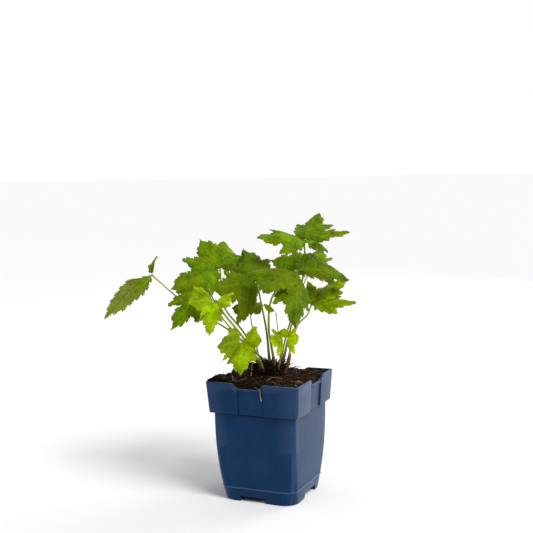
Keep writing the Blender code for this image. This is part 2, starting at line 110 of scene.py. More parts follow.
# Fine detail of the pot, which the CAD model leaves out
SEAM_HEIGHT = 12.5 * MM  # of the fine raised line round the foot
SEAM_PROUD = 0.50 * MM
SEAM_PROFILE = ((-0.9 * MM, 0), (-0.3 * MM, 1), (0.3 * MM, 1), (0.9 * MM, 0))
GROOVE_WIDTH = 0.9 * MM  # of the fine groove down the low end of each label panel
GROOVE_DEPTH = 0.9 * MM
UNDERCUT = 0.6 * MM  # depth of the fine groove under the collar
UNDERCUT_HEIGHT = 0.8 * MM
COLLAR_EDGE = 0.5 * MM  # bevel of the collar's lower edge
LIP_BEAD = 0.9 * MM  # how far the lip over a label panel stands proud of the panel
LIP_THICKNESS = 1.5 * MM
LIP_FADE = 0.3 * MM  # height over which the lip's bead blends into the panel
EDGE_ROUNDING = 0.3 * MM

# Soil and crown, as in the CAD model
SOIL_DROP = 1.5 * MM
SOIL_MOUND = 2.5 * MM
CROWN_RADIUS = 19.5 * MM
CROWN_HEIGHT = 11 * MM
CROWN_EDGE = 2.0 * MM
PLANT_LEVEL = POT_HEIGHT + 8 * MM  # that the leaf positions are measured from
BLADE_START = 3.0 * MM

# Fine detail on the soil and the crown
BOX_MARGIN = 0.15 * MM  # between the plant's and soil's pieces and the CAD model's box
SOIL_GAP = 0.2 * MM  # between the soil and the pot
SOIL_SIDE_DROP = 0.6 * MM  # of the top of the soil's side, below the CAD model's
SOIL_EDGE_DROP = 0.4 * MM  # of the soil's surface, below the rim
HEAP_PLACE = (-36 * MM, -36 * MM)  # a small heap of soil in the front left corner
HEAP_SPREAD = 9 * MM
HEAP_HEIGHT = 3.0 * MM
LEFT_HEAP_HEIGHT = 2.6 * MM  # of the soil along the left wall
CRUMBS = 1150
FIBRES = 280
CHIP_PLACE = (37, -22)  # of the star-shaped chip, in millimetres
CROWN_SCALES = 110

# A leaf's place and its leaflets, as in the CAD model: angles in degrees, lengths in millimetres.
Blade = namedtuple("Blade", "name heading pitch roll length left right droop fold skew shape")
Leaf = namedtuple("Leaf", "name foot via hub radius tint blades")

LEAVES = [
    Leaf("far_left", (-4, -4), [(-34, -12, 33), (-74, -22, 58)], (-107, -27, 85), 0.9, "mid", [
        Blade("outer", -168, -41, 50, 64, 11, 11, 50, -12, 0, ("ovate", "ovate")),
        Blade("upper", 102, 42, -45, 24, 6, 7, 20, 20, 0, ("lobed", "lobed")),
        Blade("inner", -112, -36, -30, 25, 4, 5, 40, 15, 0, ("ovate", "ovate")),
    ]),
    Leaf("upper_left", (-9, 1), [(-27, -1, 32), (-46, -2, 56)], (-50, 2, 88), 1.0, "mid", [
        Blade("outer", -140, -18, -58, 50, 21, 22, 25, -10, 0.2, ("cleft", "cleft")),
        Blade("back", 152, 40, -40, 43, 14, 15, 20, -8, 0, ("lobed", "lobed")),
        Blade("inner", 111, 30, 10, 47, 20, 21, 25, -8, 0, ("cleft", "cleft")),
    ]),
    Leaf("centre", (0, -2), [(-2, -3, 34), (-5, -7, 60)], (-8, -8, 78), 1.1, "deep", [
        Blade("front", -137, -3, -62, 43, 29, 13, 25, -10, -0.1, ("cleft", "lobed")),
        Blade("upper", 132, 35, -20, 49, 16, 18, 25, -12, 0, ("lobed", "lobed")),
        Blade("under", 153, -33, 0, 34, 12, 12, 30, -20, 0, ("ovate", "ovate")),
    ]),
    Leaf("right", (6, -5), [(3, -9, 40), (9, -11, 68)], (30, -7, 90), 1.1, "deep", [
        Blade("inner", -112, -20, -35, 45, 13, 30, 35, -18, -0.2, ("lobed", "lobed")),
        Blade("outer", 33, -12, 45, 50, 22, 9, 60, -12, -0.5, ("lobed", "lobed")),
        Blade("front", -70, -51, -25, 59, 13, 18, 30, -22, 0, ("lobed", "lobed")),
    ]),
    Leaf("top", (10, 6), [(17, 16, 44), (24, 28, 87)], (23, 32, 114), 1.1, "mid", [
        Blade("outer", -131, 6, -30, 49, 18, 14, 40, -14, 0, ("cleft", "lobed")),
        Blade("back", 89, 32, 0, 46, 16, 15, 30, -12, 0, ("cleft", "cleft")),
        Blade("right", 1, 10, 20, 45, 12, 10, 40, -12, 0, ("lobed", "lobed")),
        Blade("front", -39, -12, 0, 43, 5, 7, 45, -15, 0, ("ovate", "ovate")),
    ]),
    Leaf("low_right", (15, 3), [(24, 6, 36), (34, 8, 48)], (38, 8, 57), 0.9, "lighter_lit", [
        Blade("outer", 4, 6, 30, 42, 10, 12, 20, -8, 0, ("lobed", "lobed")),
        Blade("back", 55, 29, 5, 45, 19, 14, 25, -6, 0, ("lobed", "lobed")),
        Blade("inner", 120, 47, -40, 28, 8, 8, 25, -30, 0, ("ovate", "ovate")),
    ]),
    Leaf("yellow", (-4, -12), [(-14, -28, 31), (-24, -42, 52)], (-30, -50, 67), 1.2, "bright", [
        Blade("outer", -127, 0, -60, 26, 12, 14, 20, -8, 0, ("lobed", "lobed")),
        Blade("front", -79, -51, 0, 36, 8, 10, 25, -8, 0, ("lobed", "lobed")),
        Blade("inner", -10, -14, 50, 17, 12, 6, 20, -10, 0, ("lobed", "lobed")),
    ]),
    Leaf("lower_left", (-10, -6), [(-24, -15, 28), (-38, -22, 48)], (-48, -27, 74), 0.8, "mid", [
        Blade("outer", -132, -42, -30, 51, 14, 20, 25, -8, 0, ("lobed", "cleft")),
        Blade("back", 165, -55, -10, 25, 9, 9, 25, -8, 0, ("lobed", "lobed")),
    ]),
    Leaf("rim", (0, -16), [(-1, -29, 19)], (-7, -44, 31), 0.8, "lighter_lit", [
        Blade("front", -72, -48, 15, 35, 12, 12, 25, -8, 0, ("lobed", "lobed")),
        Blade("outer", -136, -8, -55, 24, 12, 14, 20, -8, 0.5, ("lobed", "lobed")),
        Blade("inner", -8, 5, 70, 20, 12, 12, 20, -8, 0, ("lobed", "lobed")),
    ]),
    Leaf("small", (12, -9), [(18, -15, 17)], (24, -22, 29), 0.7, "pale", [
        Blade("outer", -122, 8, -60, 16, 12, 10, 20, -8, 0, ("cleft", "cleft")),
        Blade("upper", 120, 60, 0, 12, 8, 8, 20, -8, 0, ("lobed", "lobed")),
        Blade("inner", -6, 16, 60, 15, 9, 12, 20, -8, 0, ("cleft", "cleft")),
    ]),
    Leaf("under", (-12, 4), [(-17, 3, 27), (-20, 3, 42)], (-20, 2, 50), 0.7, "mid", [
        Blade("outer", -150, 14, -50, 18, 9, 8, 20, -10, 0, ("lobed", "lobed")),
        Blade("inner", 8, 27, 40, 14, 8, 8, 20, -10, 0, ("ovate", "ovate")),
    ]),
    Leaf("bud", (11, -2), [(13, -9, 27), (14, -14, 38)], (16, -22, 53), 0.6, "bright", [
        Blade("curl", -150, 40, -30, 14, 5, 5, 60, -30, 0, ("ovate", "ovate")),
    ]),
    Leaf("back", (4, 14), [(6, 31, 32), (9, 52, 60)], (13, 73, 84), 0.9, "mid", [
        Blade("outer", 172, 8, -50, 46, 15, 15, 30, -10, 0, ("lobed", "lobed")),
        Blade("inner", 57, -10, -10, 32, 14, 14, 30, -10, 0, ("lobed", "lobed")),
        Blade("upper", 95, 25, 0, 36, 16, 16, 40, -10, 0, ("lobed", "lobed")),
    ]),
]

# Half of a leaflet's outline from its base to its tip: (share of the length, share of the half-width).
# The vein that runs to each point leaves the midrib at the share of the length in VEIN_ROOTS.
VEIN_ROOTS = (0.0, 0.0, 0.01, 0.03, 0.06, 0.11, 0.20, 0.36, 0.46, 0.57, 0.70, 0.83, 0.93, 1.0)
HALF_OUTLINES = {
    "ovate": (
        (0.0, 0.03), (-0.01, 0.16), (0.03, 0.36), (0.10, 0.58), (0.18, 0.76), (0.28, 0.92), (0.39, 1.0),
        (0.52, 0.95), (0.62, 0.83), (0.72, 0.66), (0.81, 0.48), (0.90, 0.28), (0.96, 0.13), (1.0, 0.0),
    ),
    "lobed": (
        (0.0, 0.03), (-0.01, 0.18), (0.04, 0.42), (0.13, 0.66), (0.25, 0.86), (0.39, 1.00), (0.58, 1.10),
        (0.55, 0.72), (0.61, 0.62), (0.70, 0.56), (0.79, 0.43), (0.87, 0.25), (0.94, 0.11), (1.0, 0.0),
    ),
    "cleft": (
        (0.0, 0.03), (-0.03, 0.20), (0.01, 0.48), (0.11, 0.76), (0.26, 0.95), (0.42, 1.06), (0.64, 1.18),
        (0.51, 0.68), (0.52, 0.44), (0.65, 0.52), (0.77, 0.44), (0.87, 0.26), (0.94, 0.11), (1.0, 0.0),
    ),
}
LOBE_SHARPNESS = 0.6  # 0 rounds the outlines between their points, 1 draws them straight
PURPLE_STALKS = ("centre", "bud")


# ---- general helpers

def between(a, b, share):
    return a + (b - a) * share


def clamped(value, low=0.0, high=1.0):
    return max(low, min(high, value))


def kept_inside(point):
    """A point of the plant or the soil, held inside the CAD model's box."""
    sides = zip(point, cad_low, cad_high)
    return Vector(clamped(v, low + BOX_MARGIN, high - BOX_MARGIN) for v, low, high in sides)


def linked(name, data):
    """A new object in the scene."""
    made = bpy.data.objects.new(name, data)
    bpy.context.scene.collection.objects.link(made)
    return made


def new_object(name, points, faces, materials, indices=None, smooth_angle=40):
    """A mesh piece that rides on the object's one body and takes its finishes into its material slots, one
    slot for each.
    """
    mesh = bpy.data.meshes.new(name)
    mesh.from_pydata([tuple(p) for p in points], [], faces)
    for finish in materials:
        mesh.materials.append(finish)
    if indices:
        mesh.polygons.foreach_set("material_index", indices)
    mesh.shade_smooth()
    if smooth_angle < 180:
        mesh.set_sharp_from_angle(angle=math.radians(smooth_angle))
    mesh.validate()
    made = linked(name, mesh)
    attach(made, "root")
    return made


def set_values(piece, name, values):
    """A number for each point of a mesh, for its material to read."""
    attribute = piece.data.attributes.new(name, "FLOAT", "POINT")
    attribute.data.foreach_set("value", values)


def apply_modifiers(piece):
    """The piece's mesh with its modifiers' results, and no modifiers."""
    graph = bpy.context.evaluated_depsgraph_get()
    mesh = bpy.data.meshes.new_from_object(piece.evaluated_get(graph))
    piece.modifiers.clear()
    piece.data = mesh


def loft(rings, close_first=False, close_last=False):
    """Faces between rings of the same length, with a fan to a centre point at either end."""
    count = len(rings[0])
    points = [p for ring in rings for p in ring]
    faces = []
    for row in range(len(rings) - 1):
        for i in range(count):
            j = (i + 1) % count
            a, b = row * count, (row + 1) * count
            faces.append((a + i, a + j, b + j, b + i))
    if close_first:
        points.append(sum(rings[0], Vector()) / count)
        faces += [(len(points) - 1, (i + 1) % count, i) for i in range(count)]
    if close_last:
        points.append(sum(rings[-1], Vector()) / count)
        start = (len(rings) - 1) * count
        faces += [(len(points) - 1, start + i, start + (i + 1) % count) for i in range(count)]
    return points, faces


class MeshParts:
    """Many small closed shapes gathered into one mesh, with a tone for each point."""

    def __init__(self):
        self.points = []
        self.faces = []
        self.tones = []

    def add(self, points, faces, tone):
        start = len(self.points)
        self.points += points
        self.faces += [tuple(start + i for i in face) for face in faces]
        self.tones += tone if isinstance(tone, list) else [tone] * len(points)

    def tube(self, line, radii, sides=6, tone=0.5, flat=1.0):
        """A closed tube along a line. flat below 1 presses it into a strip."""
        rings = tube_rings(line, radii, sides, flat)
        points, faces = loft(rings, close_first=True, close_last=True)
        if isinstance(tone, list):
            tone = [t for t in tone for _ in range(sides)] + [tone[0], tone[-1]]
        self.add(points, faces, tone)

    def build(self, name, finish, smooth_angle=40):
        made = new_object(name, [kept_inside(p) for p in self.points], self.faces, [finish],
                          smooth_angle=smooth_angle)
        set_values(made, "tone", self.tones)
        return made


def tube_rings(line, radii, sides, flat=1.0):
    """Rings round a line, carried along it without twist."""
    rings = []
    across = None
    for i, centre in enumerate(line):
        ahead = line[min(i + 1, len(line) - 1)]
        behind = line[max(i - 1, 0)]
        axis = (ahead - behind).normalized()
        if across is None:
            across = axis.orthogonal()
        across = (across - axis * across.dot(axis)).normalized()
        other = axis.cross(across)
        ring = []
        for k in range(sides):
            angle = math.tau * k / sides
            ring.append(centre + (across * math.cos(angle) + other * math.sin(angle) * flat) * radii[i])
        rings.append(ring)
    return rings


def smooth_route(route, per_span):
    """A Catmull-Rom curve through the route's points."""
    ends = [2 * route[0] - route[1]] + route + [2 * route[-1] - route[-2]]
    line = []
    for a, b, c, d in zip(ends, ends[1:], ends[2:], ends[3:]):
        for k in range(per_span):
            t = k / per_span
            squared = (2 * a - 5 * b + 4 * c - d) * t ** 2
            cubed = (3 * b - a - 3 * c + d) * t ** 3
            line.append(0.5 * (2 * b + (c - a) * t + squared + cubed))
    line.append(route[-1].copy())
    return line


# ---- materials

def add_node(tree, kind, values=None, **settings):
    """A shader node with its settings, and with its inputs set or linked."""
    node = tree.nodes.new(kind)
    for key, value in settings.items():
        setattr(node, key, value)
    for key, value in (values or {}).items():
        if isinstance(value, bpy.types.NodeSocket):
            tree.links.new(value, node.inputs[key])
        else:
            node.inputs[key].default_value = value
    return node


def noise_of(tree, scale, detail=3.0, roughness=0.5, stretch=None):
    """Noise over the object's own coordinates. scale is in cycles per metre."""
    place = add_node(tree, "ShaderNodeTexCoord").outputs["Object"]
    if stretch:
        place = add_node(tree, "ShaderNodeMapping", {"Vector": place, "Scale": stretch}).outputs["Vector"]
    return add_node(tree, "ShaderNodeTexNoise", {
        "Vector": place, "Scale": scale, "Detail": detail, "Roughness": roughness,
    }).outputs["Fac"]


def value_of(tree, name):
    return add_node(tree, "ShaderNodeAttribute", attribute_name=name).outputs["Fac"]


def ramp(tree, factor, stops):
    """A colour for a number. stops is [(number, colour)]."""
    node = add_node(tree, "ShaderNodeValToRGB", {"Fac": factor})
    elements = node.color_ramp.elements
    for i, (place, color) in enumerate(stops):
        element = elements[i] if i < 2 else elements.new(place)
        element.position = place
        element.color = (*color, 1.0)
    return node.outputs["Color"]


def spread(tree, factor, low, high, to_low=0.0, to_high=1.0):
    return add_node(tree, "ShaderNodeMapRange", {
        "Value": factor, "From Min": low, "From Max": high, "To Min": to_low, "To Max": to_high,
    }).outputs["Result"]


def arithmetic(tree, operation, a, b):
    return add_node(tree, "ShaderNodeMath", {0: a, 1: b}, operation=operation).outputs[0]


def mixed(tree, factor, a, b, blend="MIX"):
    """Two colours mixed by a number. a and b are colour sockets or plain colours."""
    node = add_node(tree, "ShaderNodeMix", data_type="RGBA", blend_type=blend)
    for key, value in ((0, factor), (6, a), (7, b)):
        if isinstance(value, bpy.types.NodeSocket):
            tree.links.new(value, node.inputs[key])
        else:
            node.inputs[key].default_value = value if key == 0 else (*value, 1.0)
    return node.outputs[2]


def bumped(tree, height, distance, strength=1.0, normal=None):
    values = {"Height": height, "Distance": distance, "Strength": strength}
    if normal is not None:
        values["Normal"] = normal
    return add_node(tree, "ShaderNodeBump", values).outputs["Normal"]


def multiplied(tree, color, factor, dark, light):
    """A colour times a shade that runs from dark to light as a noise factor rises."""
    return mixed(tree, 1.0, color, ramp(tree, factor, [(0.3, dark), (0.7, light)]), "MULTIPLY")


def veinlets(tree, scale):
    """Distance from a fine net of cell walls. scale is in cells per metre."""
    place = add_node(tree, "ShaderNodeTexCoord").outputs["Object"]
    values = {"Vector": place, "Scale": scale}
    return add_node(tree, "ShaderNodeTexVoronoi", values, feature="DISTANCE_TO_EDGE").outputs["Distance"]


def new_material(name, **fixed):
    """A Principled material. fixed holds its constant sockets, with _ for each space."""
    made = bpy.data.materials.new(name)
    made.use_nodes = True
    shader = made.node_tree.nodes["Principled BSDF"]
    for key, value in fixed.items():
        shader.inputs[key.replace("_", " ")].default_value = value
    return made, made.node_tree, shader


def finish_material(tree, shader, color, roughness=None, normal=None):
    tree.links.new(color, shader.inputs["Base Color"])
    if roughness is not None:
        tree.links.new(roughness, shader.inputs["Roughness"])
    if normal is not None:
        tree.links.new(normal, shader.inputs["Normal"])


def pot_material():
    """Navy moulded plastic: satin, faintly grained, with scuffs, dust and dried soil below the rim, and a
    painted highlight along the raised line round the foot and the lip over the label panels.
    """
    made, tree, shader = new_material("pot_plastic", IOR=1.5, Specular_IOR_Level=0.10,
                                      Sheen_Weight=0.22, Sheen_Roughness=0.35)
    cloud = noise_of(tree, 45, 4, 0.6)
    streaks = noise_of(tree, 300, 3, 0.6, stretch=(1.0, 1.0, 0.12))
    grain = noise_of(tree, 2600, 2)
    color = ramp(tree, cloud, [(0.3, (0.0010, 0.024, 0.078)), (0.7, (0.0016, 0.032, 0.100))])
    dust = spread(tree, streaks, 0.52, 0.75, 0.0, 0.20)
    color = mixed(tree, dust, color, (0.024, 0.050, 0.090))
    # Lighter where the edge value is high: a painted highlight on the raised line and the lip over the label
    # panels, and wear on the corners and the rim.
    wear_and_highlight_share = spread(tree, value_of(tree, "edge"), 0.2, 1.0, 0.0, 0.55)
    color = mixed(tree, wear_and_highlight_share, color, (0.065, 0.110, 0.21))
    specks = spread(tree, noise_of(tree, 900, 2, 0.7), 0.66, 0.72)
    near_soil = arithmetic(tree, "MULTIPLY", specks, value_of(tree, "soiled"))
    color = mixed(tree, near_soil, color, (0.030, 0.020, 0.014))
    roughness = spread(tree, arithmetic(tree, "ADD", streaks, cloud), 0.7, 1.35, 0.36, 0.50)
    normal = bumped(tree, grain, 0.02 * MM, 0.5)
    normal = bumped(tree, noise_of(tree, 130, 3), 0.06 * MM, 0.5, normal)
    finish_material(tree, shader, color, roughness, normal)
    return made


def soil_material():
    made, tree, shader = new_material("peat", Roughness=0.93, Specular_IOR_Level=0.08)
    fine = noise_of(tree, 900, 5, 0.7)
    coarse = noise_of(tree, 160, 3, 0.6)
    color = ramp(tree, fine, [
        (0.30, (0.0020, 0.0012, 0.0008)), (0.50, (0.0075, 0.0042, 0.0022)), (0.66, (0.030, 0.015, 0.006)),
        (0.80, (0.080, 0.040, 0.016)),
    ])
    color = multiplied(tree, color, coarse, (0.45, 0.42, 0.40), (1.15, 1.05, 1.0))
    normal = bumped(tree, fine, 0.7 * MM, 0.9)
    finish_material(tree, shader, color, None, normal)
    return made


def crumb_material(name, stops, roughness=0.9):
    """Loose bits whose colour follows the tone that each was given."""
    made, tree, shader = new_material(name, Roughness=roughness, Specular_IOR_Level=0.1)
    color = ramp(tree, value_of(tree, "tone"), stops)
    grain = noise_of(tree, 1400, 4, 0.7, stretch=(1.0, 1.0, 0.5))
    color = multiplied(tree, color, grain, (0.55, 0.52, 0.50), (1.25, 1.2, 1.15))
    finish_material(tree, shader, color, None, bumped(tree, grain, 0.25 * MM, 0.8))
    return made


def leaf_top_material(name, green):
    """Upper face: patchy green with paler veins, a fine net of veinlets and a few browned tips."""
    made, tree, shader = new_material(name, Specular_IOR_Level=0.05)
    deep = tuple(0.34 * c for c in green)
    light = tuple(1.85 * c for c in green)
    patches = noise_of(tree, 62, 4, 0.65)
    color = ramp(tree, patches, [(0.32, deep), (0.50, green), (0.66, light)])
    yellowed = tuple(c * share for c, share in zip(green, (1.7, 1.25, 1.0)))
    aged = spread(tree, noise_of(tree, 28, 2), 0.5, 0.68, 0.0, 0.6)
    color = mixed(tree, aged, color, yellowed)
    mottle = noise_of(tree, 420, 3, 0.6)
    color = mixed(tree, spread(tree, mottle, 0.38, 0.68, 0.0, 0.42), color, deep)
    net = veinlets(tree, 560.0)
    color = mixed(tree, spread(tree, net, 0.0, 0.12, 0.20, 0.0), color, light)
    on_vein = arithmetic(tree, "MULTIPLY", value_of(tree, "vein"), 0.36)
    color = mixed(tree, on_vein, color, light)
    margin = value_of(tree, "margin")
    color = mixed(tree, spread(tree, margin, 0.55, 1.0, 0.0, 0.30), color, yellowed)
    spots = spread(tree, noise_of(tree, 190, 2, 0.6), 0.60, 0.68)
    burnt = arithmetic(tree, "MULTIPLY", spread(tree, margin, 0.86, 1.0), spots)
    color = mixed(tree, arithmetic(tree, "MULTIPLY", burnt, 0.75), color, (0.085, 0.055, 0.008))
    roughness = spread(tree, mottle, 0.3, 0.7, 0.52, 0.64)
    normal = bumped(tree, net, 0.5 * MM, 0.7)
    normal = bumped(tree, noise_of(tree, 600, 3, 0.6), 0.6 * MM, 0.8, normal)
    finish_material(tree, shader, color, roughness, normal)
    return made


def leaf_under_material():
    """Lower face: greyish olive and slightly downy, with pale veins."""
    made, tree, shader = new_material("leaf_underside", Specular_IOR_Level=0.06)
    patches = noise_of(tree, 90, 3, 0.55)
    color = ramp(tree, patches, [(0.3, (0.175, 0.235, 0.012)), (0.7, (0.290, 0.360, 0.030))])
    net = veinlets(tree, 620.0)
    color = mixed(tree, spread(tree, net, 0.0, 0.14, 0.45, 0.0), color, (0.360, 0.420, 0.080))
    on_vein = arithmetic(tree, "MULTIPLY", value_of(tree, "vein"), 0.6)
    color = mixed(tree, on_vein, color, (0.400, 0.460, 0.110))
    roughness = spread(tree, patches, 0.3, 0.7, 0.65, 0.78)
    normal = bumped(tree, net, -0.40 * MM, 0.6)
    finish_material(tree, shader, color, roughness, normal)
    return made


def stalk_material(name, green, purple):
    """Leaf stalk: green, purple-brown where the tone is low, ribbed lengthways and finely hairy."""
    made, tree, shader = new_material(name, Specular_IOR_Level=0.15)
    tone = value_of(tree, "tone")
    blotch = noise_of(tree, 260, 3, 0.6, stretch=(1.0, 1.0, 0.35))
    share = arithmetic(tree, "ADD", tone, spread(tree, blotch, 0.3, 0.7, -0.22, 0.22))
    color = ramp(tree, share, [(0.15, purple), (0.55, green)])
    fine = noise_of(tree, 1700, 3, 0.6, stretch=(1.0, 1.0, 0.25))
    color = multiplied(tree, color, fine, (0.80, 0.80, 0.80), (1.15, 1.15, 1.15))
    roughness = spread(tree, fine, 0.3, 0.7, 0.42, 0.58)
    finish_material(tree, shader, color, roughness, bumped(tree, fine, 0.12 * MM, 0.7))
    return made


# ---- pot

def pot_half_width(z):
    if z > COLLAR_LOW:
        return POT_WIDTH / 2 - COLLAR_DRAFT * (POT_HEIGHT - z) / COLLAR_HEIGHT
    body_top = POT_WIDTH / 2 - COLLAR_DRAFT - LEDGE
    return body_top - BODY_DRAFT * (1 - z / COLLAR_LOW) ** BODY_CURVE


def pot_corner_radius(z):
    if z > COLLAR_LOW:
        return RIM_CORNER_RADIUS
    return between(BODY_CORNER_RADIUS, FOOT_CORNER_RADIUS, (1 - z / COLLAR_LOW) ** CORNER_CURVE)


def span(width, shift):
    """Where a feature of a side begins and ends, measured from the side's middle."""
    return shift - width / 2, shift + width / 2


def is_within(along, ends):
    return along is not None and ends[0] - LEAST_MARK_GAP <= along <= ends[1] + LEAST_MARK_GAP


def side_marks():
    """Places along one side, from its middle, where the outline has a point."""
    panel_low, panel_high = span(PANEL_WIDTH, PANEL_SHIFT)
    notch_low, notch_high = span(NOTCH_WIDTH, NOTCH_SHIFT)
    marks = [panel_low - PANEL_STEP, panel_low, panel_low + GROOVE_WIDTH, panel_high, panel_high + PANEL_STEP]
    marks += [notch_low - NOTCH_SLOPE, notch_low, notch_high, notch_high + NOTCH_SLOPE]
    marks += [RIB_LOW_END, RIB_LOW_END + NOTCH_SLOPE, RIB_HIGH_END - NOTCH_SLOPE, RIB_HIGH_END]
    for step in range(LIP_STEPS):
        marks.append(panel_low + LIP_LONG_RUN * (LIP_OVERLAP - step / LIP_STEPS))
        marks.append(panel_high - LIP_SHORT_RUN * step / LIP_STEPS)
    apart = []
    for mark in sorted(marks):
        if not apart or mark - apart[-1] > LEAST_MARK_GAP:
            apart.append(mark)
    return apart


def panel_depth(along, sunk):
    """How far the side lies in at a place along it: the label panel and the groove at its low end."""
    low, high = span(PANEL_WIDTH, PANEL_SHIFT)
    if is_within(along, (low, high)):
        in_groove = sunk > 0 and along < low + GROOVE_WIDTH / 2
        return sunk + (GROOVE_DEPTH if in_groove else 0.0)
    out_by = max(low - along, along - high)
    return sunk * max(0.0, 1 - out_by / PANEL_STEP)


def outline(half, radius, inset, sunk, height):
    """One closed ring of the pot. inset moves it inwards, sunk is the depth of the label panels,
    and height(along) is a point's level from its place along its side (None on the corners).
    Every second side is the mirror image of its neighbours."""
    reach = half - inset
    corner = max(radius - inset, LEAST_CORNER)
    ring = []
    for side in range(4):
        turn = Matrix.Rotation(side * math.pi / 2, 3, "Z")
        facing = 1 if side % 2 == 0 else -1
        for along in side_marks()[::facing]:
            out = reach - panel_depth(along, sunk)
            ring.append(turn @ Vector((along * facing, -out, height(along))))
        for step in range(CORNER_SEGMENTS + 1):
            angle = math.pi / 2 * step / CORNER_SEGMENTS
            along = reach - corner + corner * math.sin(angle)
            out = reach - corner + corner * math.cos(angle)
            ring.append(turn @ Vector((along, -out, height(None))))
    return ring


def level(z):
    return lambda along: z


def eased(share):
    share = clamped(share)
    return share * share * (3 - 2 * share)


def rim_level(top):
    """The rim's height along a side: it dips across the label panel, gently at one end of it."""
    low, high = span(PANEL_WIDTH, PANEL_SHIFT)
    slope_start = low - (1 - LIP_OVERLAP) * LIP_LONG_RUN

    def height(along):
        if along is None:
            return top
        down = eased((along - slope_start) / LIP_LONG_RUN)
        return top - LIP_DIP * down * eased((high - along) / LIP_SHORT_RUN)
    return height


def skirt_level(along):
    if is_within(along, span(NOTCH_WIDTH, NOTCH_SHIFT)):
        return FOOT_HEIGHT - NOTCH_GAP
    return 0.0


def rib_level(along):
    if is_within(along, (RIB_LOW_END + NOTCH_SLOPE, RIB_HIGH_END - NOTCH_SLOPE)):
        return RIB_CLEARANCE
    return FOOT_HEIGHT


def circle_ring(like, radius, z):
    ring = []
    for point in like:
        flat = Vector((point.x, point.y, 0)).normalized() * radius
        ring.append(Vector((flat.x, flat.y, z)))
    return ring


def pot_ring(z, inset, sunk=0.0, height=None, at=None):
    """A ring whose size is the pot's at the level z, or at another level if at is given."""
    at = z if at is None else at
    return outline(pot_half_width(at), pot_corner_radius(at), inset, sunk, height or level(z))


def base_rings():
    """Under the floor: the pad that the pot stands on, the ribs behind the notches and the skirt."""
    half = pot_half_width(0)
    radius = pot_corner_radius(0)
    rib = WALL + RIB_SETBACK
    under = level(FOOT_HEIGHT)
    inner = outline(half, radius, rib + WALL, 0, under)
    return [
        circle_ring(inner, PAD_RADIUS, 0.0),
        circle_ring(inner, PAD_RADIUS, FOOT_HEIGHT),
        inner,
        outline(half, radius, rib + WALL, 0, rib_level),
        outline(half, radius, rib, 0, rib_level),
        outline(half, radius, rib, 0, under),
        outline(half, radius, WALL, 0, under),
        outline(half, radius, WALL, 0, skirt_level),
        outline(half, radius, 0, 0, skirt_level),
    ]


def body_rings():
    """Up the outside of the body, with the raised line round the foot and the groove under the collar."""
    rings = [pot_ring(FLOOR_TOP, 0)]
    for offset, proud in SEAM_PROFILE:
        rings.append(pot_ring(SEAM_HEIGHT + offset, -proud * SEAM_PROUD))
    for step in range(2, 10):
        rings.append(pot_ring(between(FLOOR_TOP, COLLAR_LOW, step / 10), 0))
    rings.append(pot_ring(COLLAR_LOW - UNDERCUT_HEIGHT - COLLAR_EDGE, 0))
    rings.append(pot_ring(COLLAR_LOW - UNDERCUT_HEIGHT, UNDERCUT))
    rings.append(pot_ring(COLLAR_LOW, UNDERCUT))
    return rings


def collar_rings():
    """Up the outside of the collar, over its lip and down inside it."""
    above_ledge = COLLAR_LOW + 1e-6
    under_lip = POT_HEIGHT - LIP_THICKNESS
    below_lip = under_lip - LIP_FADE
    bead = PANEL_DEPTH - LIP_BEAD
    rings = [
        pot_ring(COLLAR_LOW, COLLAR_EDGE, PANEL_DEPTH, at=above_ledge),
        pot_ring(COLLAR_LOW + COLLAR_EDGE, 0.0, PANEL_DEPTH, at=above_ledge),
    ]
    for share in (0.33, 0.66):
        rings.append(pot_ring(between(COLLAR_LOW, POT_HEIGHT, share), 0, PANEL_DEPTH))
    rings.append(pot_ring(below_lip, 0, PANEL_DEPTH, rim_level(below_lip)))
    rings.append(pot_ring(under_lip, 0, bead, rim_level(under_lip)))
    rings.append(pot_ring(POT_HEIGHT, 0, bead, rim_level(POT_HEIGHT)))
    rings.append(pot_ring(POT_HEIGHT, WALL + LIP_BEAD, bead, rim_level(POT_HEIGHT)))
    rings.append(pot_ring(under_lip, WALL, PANEL_DEPTH, rim_level(under_lip)))
    rings.append(pot_ring(COLLAR_LOW + WALL, WALL, PANEL_DEPTH))
    return rings


def inner_body_rings():
    rings = [pot_ring(COLLAR_LOW + WALL, WALL, at=COLLAR_LOW)]
    for share in (0.75, 0.5, 0.25, 0.0):
        rings.append(pot_ring(between(FLOOR_TOP, COLLAR_LOW, share), WALL))
    return rings


def hole_cutter():
    work = bmesh.new()
    for x in (-HOLE_PLACES, HOLE_PLACES):
        for y in (-HOLE_PLACES, HOLE_PLACES):
            place = Matrix.Translation((x, y, FOOT_HEIGHT + WALL / 2))
            bmesh.ops.create_cone(
                work, cap_ends=True, segments=32, radius1=HOLE_RADIUS, radius2=HOLE_RADIUS,
                depth=WALL * 4, matrix=place,
            )
    mesh = bpy.data.meshes.new("hole_cutter")
    work.to_mesh(mesh)
    work.free()
    return linked("hole_cutter", mesh)


def wear_and_highlight(point):
    """How much the plastic is lightened: most under the rim and on the raised line, where it is a painted
    highlight, and less on corners and the rim, where it is wear.
    """
    x, y, z = point
    at_rim = z > POT_HEIGHT - 6 * MM
    at_seam = abs(z - SEAM_HEIGHT) < 0.6 * MM
    if at_seam or (at_rim and z < POT_HEIGHT - 2.5 * MM):
        return 1.0
    at_corner = min(abs(x), abs(y)) > pot_half_width(z) - 4 * MM
    depth = pot_half_width(clamped(z, 0, POT_HEIGHT)) - max(abs(x), abs(y))
    return 0.6 if at_corner or (at_rim and depth < 3 * MM) else 0.0


def soiling(point):
    """How much dried soil clings to the plastic: most at the rim."""
    return clamped(1 - (POT_HEIGHT - point.z) / (14 * MM)) * 0.8


